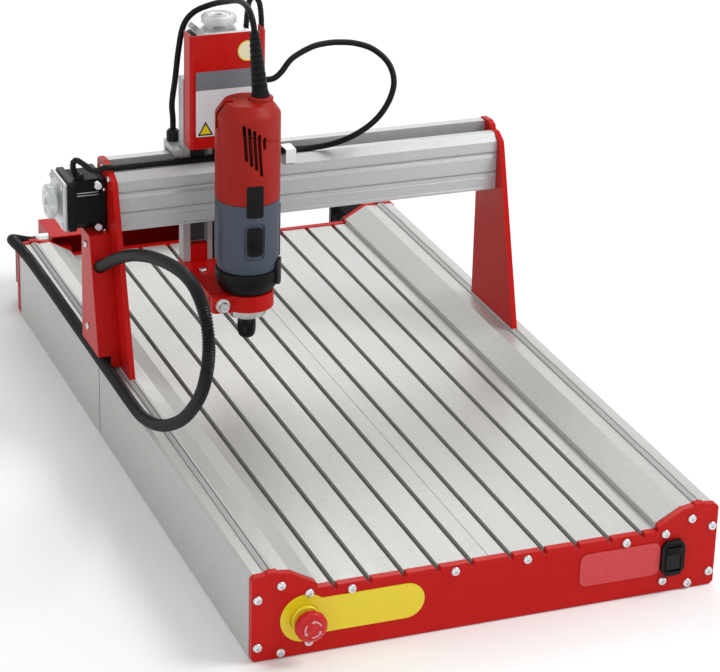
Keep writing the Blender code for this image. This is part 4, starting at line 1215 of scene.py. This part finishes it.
@dataclass
class MillingMotor:
    """The collar-mounted milling motor with its housings, vents, switch and collet."""

    x: float = -0.0975
    y: float = 0.0065
    radius: float = 0.0346
    body: str = "z_head"
    vents: tuple[tuple[float, float, float], ...] = (
        (-115.5, 0.3400, 0.3800), (-106.5, 0.3345, 0.3775), (-97.5, 0.3300, 0.3745), (-88.5, 0.3230, 0.3700),
        (-78.0, 0.3520, 0.3660),
    )
    facing: float = -95.0
    vent_slant: float = 0.07

    def build(self) -> None:
        """Builds the housings and dresses what stays."""
        dress(STEEL, "spindle_neck", "spindle_shaft")
        self.upper()
        self.lower()
        self.nose()
        self.collet()
        self.controls()

    def ring_point(self, angle: float, radius: float, z: float) -> Vector:
        """A point about the motor's axis, its angle in degrees."""
        turn = math.radians(angle)
        return Vector((self.x + radius * math.cos(turn), self.y + radius * math.sin(turn), z))

    def curved_plate(
        self, body: Solid, middle: float, half: float, low: float, high: float, inner: float, outer: float,
        corner: float,
    ) -> None:
        """Adds a plate wrapped round the housing, with rounded ends.

        Args:
            body: what it is added to.
            middle: the angle it faces, in degrees.
            half: half its width, in degrees.
            low: its lower edge.
            high: its upper edge.
            inner: its inner radius.
            outer: its outer radius.
            corner: the radius of its corners.
        """
        wide = math.radians(half) * self.radius
        rows_in, rows_out = [], []
        levels = sorted(
            {low, low + corner * 0.3, low + corner, (low + high) / 2, high - corner, high - corner * 0.3, high}
        )
        for z in levels:
            inset = max(0.0, corner - min(z - low, high - z))
            width = wide - (corner - math.sqrt(max(0.0, corner * corner - inset * inset)))
            span = math.degrees(width / self.radius)
            angles = np.linspace(middle - span, middle + span, 13)
            rows_out.append([self.ring_point(a, outer, z) for a in angles])
            rows_in.append([self.ring_point(a, inner, z) for a in reversed(angles)])
        body.rings([o + i for o, i in zip(rows_out, rows_in)])

    def upper(self) -> None:
        """The red upper housing with its grip step and vents, and a dark red ring inside it that paints the
        shade seen through the vents.
        """
        r = self.radius
        outer = [
            (0.0002, 0.3970), (0.0150, 0.3970), (0.0240, 0.3968), (0.0262, 0.3958), (0.0285, 0.3925),
            (r - 0.0018, 0.3868), (r - 0.0004, 0.3845), (r, 0.3820),
        ]
        outer += [(r, z) for z in np.linspace(0.3810, 0.2960, 72)] + [(r, 0.2925), (r - 0.0004, 0.2906)]
        inner = [(r - 0.0030, 0.2906), (r - 0.0030, 0.3820), (0.0250, 0.3925), (0.0002, 0.3940)]
        last = len(outer)

        def grip(index: int, angle: float, radius: float) -> float:
            """Draws the wall in above a slanting line on the dial's side."""
            if not 7 <= index < last - 2:
                return radius
            z = outer[index][1]
            degrees = (math.degrees(angle) + 180) % 360 - 180
            along = (degrees + 178) / 138 if degrees < 0 else 9.0
            if not 0.0 <= along <= 1.0:
                return radius
            edge = 0.3800 - 0.0240 * along
            step = min(1.0, max(0.0, (edge - z) / 0.0016 + 0.5)) * min(
                1.0, max(0.0, (z - edge + 0.058 - 0.020 * along) / 0.022),
            )
            fade = min(1.0, along / 0.08, (1 - along) / 0.10)
            return radius - 0.0016 * step * fade

        shell = Solid().lathe(
            outer + inner, (self.x, self.y, 0), Axis.Z, 120, shape=grip,
        ).piece("upper_housing_shell", TOOL_RED, self.body)
        cutters = []
        for angle, low, high in self.vents:
            cutters.append(self.vent_cutter(angle, low, high, 0.0018, 0.0310, 0.0400))
            cutters.append(self.vent_cutter(angle + 180, low, high, 0.0018, 0.0310, 0.0400))
        window = Solid().block(
            (self.x - 0.0365, self.y - 0.0034, 0.3690), (self.x - 0.0165, self.y + 0.0034, 0.4000),
        )
        cutters.append(window.piece("dial_window", STEEL, None))
        carve(shell, cutters)
        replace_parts(shell, "upper_housing")
        # Painted shade: a dark red ring just inside the wall, so the vents read as shaded openings.
        vent_shade = Solid().lathe(
            [(0.0308, 0.2930), (0.0308, 0.3660), (0.0300, 0.3660), (0.0300, 0.2930)], (self.x, self.y, 0),
            Axis.Z, 64, closed=True,
        )
        vent_shade.piece("vent_painted_shade", VENT_SHADE_RED, self.body)
        boss = Solid().lathe(
            [
                (0.0098, 0.3971), (0.0135, 0.3971), (0.0132, 0.3990), (0.0118, 0.4002), (0.0098, 0.4002),
            ], (-0.0838, self.y, 0), Axis.Z, 40, closed=True
        )
        boss.piece("relief_boss", TOOL_RED, self.body)

    def vent_cutter(
        self, angle: float, low: float, high: float, half: float, inner: float, outer: float,
    ) -> bpy.types.Object:
        """A slot-shaped cutter with round ends, pointing out from the axis."""
        out = self.ring_point(angle, 1.0, 0) - Vector((self.x, self.y, 0))
        side = Vector((-out.y, out.x, 0))
        outline = arc(0, high - half, half, 0, 180, 8) + arc(0, low + half, half, 180, 360, 8)
        rows = []
        for depth in (inner, outer):
            centre = Vector((self.x, self.y, 0)) + out * depth
            rows.append(
                [centre + side * (u + self.vent_slant * (high - v)) + Vector((0, 0, v)) for u, v in outline]
            )
        return Solid().rings(rows).piece("vent", STEEL, None)

    def lower(self) -> None:
        """The grey lower housing with its switch well."""
        r = self.radius
        outer = [(r - 0.0004, 0.2899), (r - 0.00005, 0.2885)]
        outer += [(r, z) for z in np.linspace(0.2860, 0.2300, 22)]
        outer += [(r - 0.0004, 0.2240), (r - 0.0012, 0.2180), (r - 0.0022, 0.2140), (r - 0.0028, 0.2123)]
        inner = [(0.0250, 0.2123), (0.0250, 0.2160), (r - 0.0030, 0.2220), (r - 0.0030, 0.2899)]
        body = Solid().lathe(outer + inner, (self.x, self.y, 0), Axis.Z, 120, closed=True)
        shell = body.piece("lower_housing_shell", TOOL_GREY, self.body)
        well = Solid()
        self.curved_plate(well, self.facing, 18.5, 0.2295, 0.2712, r - 0.0014, r + 0.004, 0.0050)
        carve(shell, [well.piece("switch_well", STEEL, None)])
        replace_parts(shell, "lower_housing")
        rib = Solid()
        self.curved_plate(rib, self.facing + 70, 2.0, 0.2250, 0.2840, r - 0.0004, r + 0.0007, 0.0012)
        self.curved_plate(rib, self.facing - 70, 2.0, 0.2250, 0.2840, r - 0.0004, r + 0.0007, 0.0012)
        rib.piece("lower_housing_ribs", TOOL_GREY, self.body)

    def nose(self) -> None:
        """The black nose ring with its flats and grip lines."""
        profile = [
            (0.0221, 0.2119), (0.0318, 0.2119), (0.0340, 0.2110), (0.0345, 0.2090), (0.0344, 0.2040),
            (0.0338, 0.1985), (0.0325, 0.1940),
            (0.0300, 0.1895), (0.0275, 0.1866), (0.0221, 0.1866),
        ]

        def flats(index: int, angle: float, radius: float) -> float:
            """Ten shallow flats below the rim."""
            return radius - 0.0006 * abs(math.sin(5 * angle)) if 5 <= index <= 7 else radius

        ring = Solid().lathe(
            profile, (self.x, self.y, 0), Axis.Z, 120, closed=True, shape=flats,
        ).piece("nose_ring", BLACK_PLASTIC, self.body)
        pocket = Solid().block(
            (self.x + 0.0270, self.y - 0.0066, 0.1924), (self.x + 0.0400, self.y + 0.0066, 0.2086),
        )
        carve(ring, [pocket.piece("lock_pocket", STEEL, None)])
        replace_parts(ring, "spindle_nose")
        lug = Solid()
        self.curved_plate(lug, 38.0, 13.0, 0.1950, 0.2200, 0.0335, 0.0366, 0.0040)
        self.curved_plate(lug, -34.0, 13.0, 0.1950, 0.2240, 0.0335, 0.0366, 0.0040)
        lug.piece("nose_lugs", BLACK_PLASTIC, self.body)
        lock = Solid().block(
            (self.x + 0.0300, self.y - 0.0060, 0.1930), (self.x + 0.0366, self.y + 0.0060, 0.2080), 0.0014, 3,
        )
        for i in range(4):
            z = 0.1958 + i * 0.0028
            lock.block(
                (self.x + 0.0360, self.y - 0.0046, z), (self.x + 0.0372, self.y + 0.0046, z + 0.0012), 0.0003,
                1,
            )
        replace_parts(lock.piece("lock_button_cap", BLACK_PLASTIC, "tool_lock"), "lock_button")

    def collet(self) -> None:
        """The collet nut with its spanner flats, and the bright shoulder above it."""
        profile = [
            (0.0064, 0.1528), (0.0092, 0.1528), (0.0098, 0.1522), (0.0098, 0.1450), (0.0104, 0.1445),
            (0.0104, 0.1372), (0.0096, 0.1345),
            (0.0086, 0.1318), (0.0074, 0.1302), (0.0060, 0.1298), (0.0041, 0.1298), (0.0041, 0.1371),
            (0.0064, 0.1371),
        ]

        def flats(index: int, angle: float, radius: float) -> float:
            """Six spanner flats round the nut's waist."""
            if not 4 <= index <= 6:
                return radius
            sixth = math.pi / 3
            return min(radius, 0.0095 / math.cos(angle % sixth - sixth / 2))

        nut = Solid().lathe(
            profile, (self.x, self.y, 0), Axis.Z, 72, closed=True, shape=flats,
        ).piece("collet_nut_hex", COLLET_BLACK, "spindle_rotor")
        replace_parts(nut, "collet_nut")
        shoulder = Solid().lathe(
            [
                (0.0089, 0.1582), (0.0200, 0.1582), (0.0200, 0.1570), (0.0130, 0.1552), (0.0112, 0.1540),
                (0.0089, 0.1540),
            ], (self.x, self.y, 0), Axis.Z, 64, closed=True
        )
        shoulder.piece("bearing_shoulder", STEEL, self.body)

    def controls(self) -> None:
        """The slide switch, the blank badge and the speed dial."""
        r = self.radius
        switch = Solid()
        self.curved_plate(switch, self.facing, 14.0, 0.2350, 0.2665, r - 0.0010, r + 0.0016, 0.0040)
        for i in range(5):
            self.curved_plate(
                switch, self.facing, 10.0, 0.2400 + i * 0.0024, 0.2412 + i * 0.0024, r + 0.0010, r + 0.0024,
                0.0004,
            )
        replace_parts(switch.piece("slide_switch", BLACK_PLASTIC, "tool_switch"), "spindle_switch")
        badge = Solid()
        self.curved_plate(badge, self.facing, 15.0, 0.2780, 0.3130, r + 0.0001, r + 0.0009, 0.0020)
        badge.piece("blank_badge", BLACK_PLASTIC, self.body)
        centre = (self.x - 0.0245, self.y - 0.0030, 0.3838)
        profile = [
            (0.0002, 0), (0.0070, 0), (0.0075, 0.0006), (0.0075, 0.0054), (0.0070, 0.0060), (0.0002, 0.0060),
        ]

        def knurl(index: int, angle: float, radius: float) -> float:
            """Knurls round the dial's rim."""
            return radius - 0.0004 * (1 + math.cos(24 * angle)) / 2 if 1 <= index <= 4 else radius

        dial = Solid().lathe(profile, centre, Axis.Y, 96, shape=knurl).piece(
            "speed_dial_wheel", BLACK_PLASTIC, "tool_dial",
        )
        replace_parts(dial, "speed_dial")


# ---------------------------------------------------------------- cables


@dataclass
class Cables:
    """The conduit and the cables, each along its real route."""

    conduit: tuple[Point, ...] = (
        (-0.2166, 0.4550, 0.0827), (-0.2260, 0.4547, 0.0838), (-0.2390, 0.4505, 0.0890),
        (-0.2478, 0.4400, 0.0945), (-0.2500, 0.4240, 0.0980),
        (-0.2475, 0.4020, 0.0975), (-0.2450, 0.3700, 0.0962), (-0.2440, 0.3000, 0.0958),
        (-0.2440, 0.2000, 0.0958), (-0.2440, 0.1000, 0.0958),
        (-0.2440, 0.0500, 0.0958), (-0.2440, 0.0000, 0.0958), (-0.2440, -0.0450, 0.0958),
        (-0.2435, -0.0850, 0.0970), (-0.2430, -0.1250, 0.1060),
        (-0.2430, -0.1700, 0.1240), (-0.2430, -0.2200, 0.1520), (-0.2430, -0.2600, 0.1830),
        (-0.2430, -0.2910, 0.2160), (-0.2430, -0.3080, 0.2500),
        (-0.2430, -0.3100, 0.2780), (-0.2430, -0.2960, 0.3010), (-0.2430, -0.2670, 0.3130),
        (-0.2430, -0.2300, 0.3130), (-0.2430, -0.1800, 0.3040),
        (-0.2430, -0.1150, 0.2860), (-0.2430, -0.0500, 0.2620), (-0.2425, 0.0100, 0.2340),
        (-0.2415, 0.0500, 0.2130), (-0.2405, 0.0760, 0.2010),
        (-0.2405, 0.0880, 0.1950),
    )
    groove: tuple[Point, ...] = (
        (-0.2202, 0.0895, 0.3054), (-0.1700, 0.0896, 0.3055), (-0.1000, 0.0895, 0.3054),
        (-0.0500, 0.0895, 0.3054), (-0.0183, 0.0895, 0.3054),
    )
    loop: tuple[Point, ...] = (
        (-0.0180, 0.0895, 0.3054), (-0.0130, 0.0895, 0.3054), (0.0050, 0.0885, 0.3054),
        (0.0250, 0.0790, 0.3110), (0.0460, 0.0670, 0.3230),
        (0.0680, 0.0640, 0.3385), (0.0830, 0.0640, 0.3580), (0.0920, 0.0720, 0.3775), (0.0900, 0.0850, 0.3950),
        (0.0750, 0.0940, 0.4095),
        (0.0550, 0.0990, 0.4165), (0.0350, 0.1000, 0.4190), (0.0300, 0.1000, 0.4190),
    )
    tail: tuple[Point, ...] = (
        (0.0300, 0.1000, 0.4190), (0.0244, 0.1000, 0.4190), (0.0060, 0.0980, 0.4170), (-0.0180, 0.0930, 0.4080),
        (-0.0330, 0.0860, 0.3960),
        (-0.0427, 0.0836, 0.3905), (-0.0547, 0.0835, 0.3900),
    )
    tool: tuple[Point, ...] = (
        (-0.0901, 0.0065, 0.4590), (-0.0917, 0.0065, 0.4745), (-0.0928, 0.0120, 0.4855),
        (-0.0920, 0.0290, 0.4905), (-0.0910, 0.0580, 0.4880),
        (-0.0940, 0.0880, 0.4790), (-0.1030, 0.1110, 0.4700), (-0.1195, 0.1215, 0.4600),
        (-0.1312, 0.1220, 0.4460), (-0.1370, 0.1215, 0.4200),
        (-0.1410, 0.1215, 0.3870), (-0.1440, 0.1235, 0.3600), (-0.1415, 0.1285, 0.3400),
        (-0.1415, 0.1285, 0.3200),
    )

    def build(self) -> None:
        """Builds every cable; those that cross a joint ride on no body."""
        hose = Solid().tube(
            smooth_route(self.conduit, 0.00075), 0.0065, 16, rib=0.0010,
        ).piece("ribbed_conduit", CONDUIT_BLACK, None)
        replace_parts(hose, "gantry_conduit")
        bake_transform(hose)
        run = Solid().tube(
            smooth_route(self.groove, 0.004), 0.0033, 14,
        ).piece("beam_cable", CABLE_BLACK, "gantry")
        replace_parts(run, "z_cable_run")
        self.bent(
            "free_loop_cable", self.loop, 0.0033, "z_cable_loop",
        )
        self.bent(
            "tower_tail_cable", self.tail, 0.0033, "z_cable_tail",
        )
        self.bent(
            "tool_cable", self.tool, 0.00325, "spindle_cable",
        )
        self.relief()
        self.motor_lead()

    def bent(
        self, name: str, route: Sequence[Point], radius: float, node: str,
    ) -> None:
        """A fixed cable between two bodies, riding on neither.

        Args:
            name: the piece's name.
            route: the points it follows.
            radius: half its thickness.
            node: the frame's node it stands for.
        """
        made = Solid().tube(smooth_route(route, 0.003), radius, 14).piece(name, CABLE_BLACK, None)
        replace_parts(made, node)
        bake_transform(made)

    def relief(self) -> None:
        """The milling motor's tapered strain relief with its bending ribs."""
        rows = [(0.0036, 0.0), (0.0095, 0.0), (0.0095, 0.0042), (0.0088, 0.0058)]
        for i in range(9):
            low = 0.0100 + i * 0.0064
            wide = 0.0084 - 0.00032 * i
            rows += [
                (wide, low), (wide, low + 0.0040), (wide - 0.0011, low + 0.0044), (wide - 0.0011, low + 0.0060),
            ]
        rows += [(0.0055, 0.0690), (0.0052, 0.0714), (0.0036, 0.0714)]
        body = Solid().lathe(rows, (0, 0, 0), Axis.Z, 40, closed=True)
        turn = Matrix.Translation((-0.0838, 0.0065, 0.3984)) @ Matrix.Rotation(-0.104, 4, "Y")
        bmesh.ops.transform(body.mesh, matrix=turn, verts=body.mesh.verts)
        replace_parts(body.piece("ribbed_strain_relief", CABLE_BLACK, "z_head"), "strain_relief")

    def motor_lead(self) -> None:
        """The cross motor's sleeved lead, which loops up and goes over the side plate to the beam."""
        route = [
            (-0.2530, 0.1080, 0.2900), (-0.2580, 0.1070, 0.2990), (-0.2600, 0.1050, 0.3090),
            (-0.2570, 0.1020, 0.3140), (-0.2500, 0.0985, 0.3100),
            (-0.2430, 0.0950, 0.3045), (-0.2360, 0.0925, 0.3035), (-0.2290, 0.0900, 0.3070),
            (-0.2205, 0.0895, 0.3062),
        ]
        Solid().tube(
            smooth_route(route, 0.0008), 0.0034, 12, rib=0.0004,
        ).piece("x_motor_sleeve", CONDUIT_BLACK, "gantry")
        grommet = Solid().lathe(
            [(0.0020, 0), (0.0052, 0), (0.0052, 0.0030), (0.0040, 0.0042), (0.0020, 0.0042)],
            (-0.2530, 0.1080, 0.2923), Axis.Z, 32, closed=True,
        )
        grommet.piece("x_motor_grommet", BLACK_PLASTIC, "gantry")


# ---------------------------------------------------------------- studio


@dataclass
class Studio:
    """The floor, the light and the camera."""

    eye: Point = (-0.9521, -2.4985, 1.2922)
    azimuth: float = 21.49
    drop: float = 23.69
    roll: float = 1.46
    lens: float = 133.84
    lights: tuple[tuple[str, Point, Point, float, float], ...] = (
        ("key", (1.7, -0.9, 2.4), (0.0, 0.0, 0.1), 1.3, 40.0),
        ("fill", (-1.6, -2.4, 1.5), (0.0, 0.0, 0.1), 2.0, 9.0),
        ("back", (0.6, 2.4, 2.2), (0.0, 0.0, 0.1), 1.8, 22.0),
    )

    def build(self) -> None:
        """Adds everything round the machine."""
        self.floor()
        self.world()
        for name, place, aim, size, power in self.lights:
            data = bpy.data.lights.new(name, "AREA")
            data.shape = "DISK"
            data.size = size
            data.energy = power
            lamp = bpy.data.objects.new(name, data)
            lamp.location = place
            lamp.rotation_euler = (Vector(aim) - Vector(place)).to_track_quat("-Z", "Y").to_euler()
            bpy.context.scene.collection.objects.link(lamp)
        self.camera()
        bpy.context.scene.view_settings.view_transform = "Standard"

    def floor(self) -> None:
        """A wide pale floor under the base."""
        data = bpy.data.meshes.new("floor")
        half = 14.0
        data.from_pydata(
            [(-half, -half, -0.0005), (half, -half, -0.0005), (half, half, -0.0005), (-half, half, -0.0005)],
            [], [(0, 1, 2, 3)],
        )
        data.materials.append(FLOOR.material())
        made = bpy.data.objects.new("floor", data)
        bpy.context.scene.collection.objects.link(made)

    def world(self) -> None:
        """An even white surround."""
        world = bpy.data.worlds.new("surround")
        world.use_nodes = True
        world.node_tree.nodes["Background"].inputs["Color"].default_value = (1.0, 1.0, 1.0, 1.0)
        world.node_tree.nodes["Background"].inputs["Strength"].default_value = 0.68
        bpy.context.scene.world = world

    def camera(self) -> None:
        """The camera, from its turn, drop and roll."""
        turn, drop, roll = (math.radians(v) for v in (self.azimuth, self.drop, self.roll))
        ahead = Vector((math.sin(turn) * math.cos(drop), math.cos(turn) * math.cos(drop), -math.sin(drop)))
        level = Vector((math.cos(turn), -math.sin(turn), 0))
        right = level * math.cos(roll) + level.cross(ahead) * math.sin(roll)
        up = right.cross(ahead)
        data = bpy.data.cameras.new("camera")
        data.lens = self.lens
        data.sensor_width = 36.0
        data.sensor_fit = "HORIZONTAL"
        data.clip_end = 60.0
        made = bpy.data.objects.new("camera", data)
        matrix = Matrix((right, up, -ahead)).transposed().to_4x4()
        made.matrix_world = Matrix.Translation(self.eye) @ matrix
        bpy.context.scene.collection.objects.link(made)
        bpy.context.scene.camera = made


def main() -> None:
    """Builds every part of the scene in order."""
    logging.basicConfig(level=logging.INFO, format="%(message)s")
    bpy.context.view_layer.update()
    for part in (Base(), Panel(), Gantry(), Tower(), MillingMotor(), Cables(), Studio()):
        LOG.info("building %s", type(part).__name__)
        part.build()


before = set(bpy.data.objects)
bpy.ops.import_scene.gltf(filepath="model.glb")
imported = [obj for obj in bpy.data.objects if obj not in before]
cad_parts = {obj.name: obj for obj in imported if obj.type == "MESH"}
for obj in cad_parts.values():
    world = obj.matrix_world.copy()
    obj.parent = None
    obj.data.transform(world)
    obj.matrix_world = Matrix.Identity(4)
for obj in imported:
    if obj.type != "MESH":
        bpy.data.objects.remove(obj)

if __name__ == "__main__":
    main()
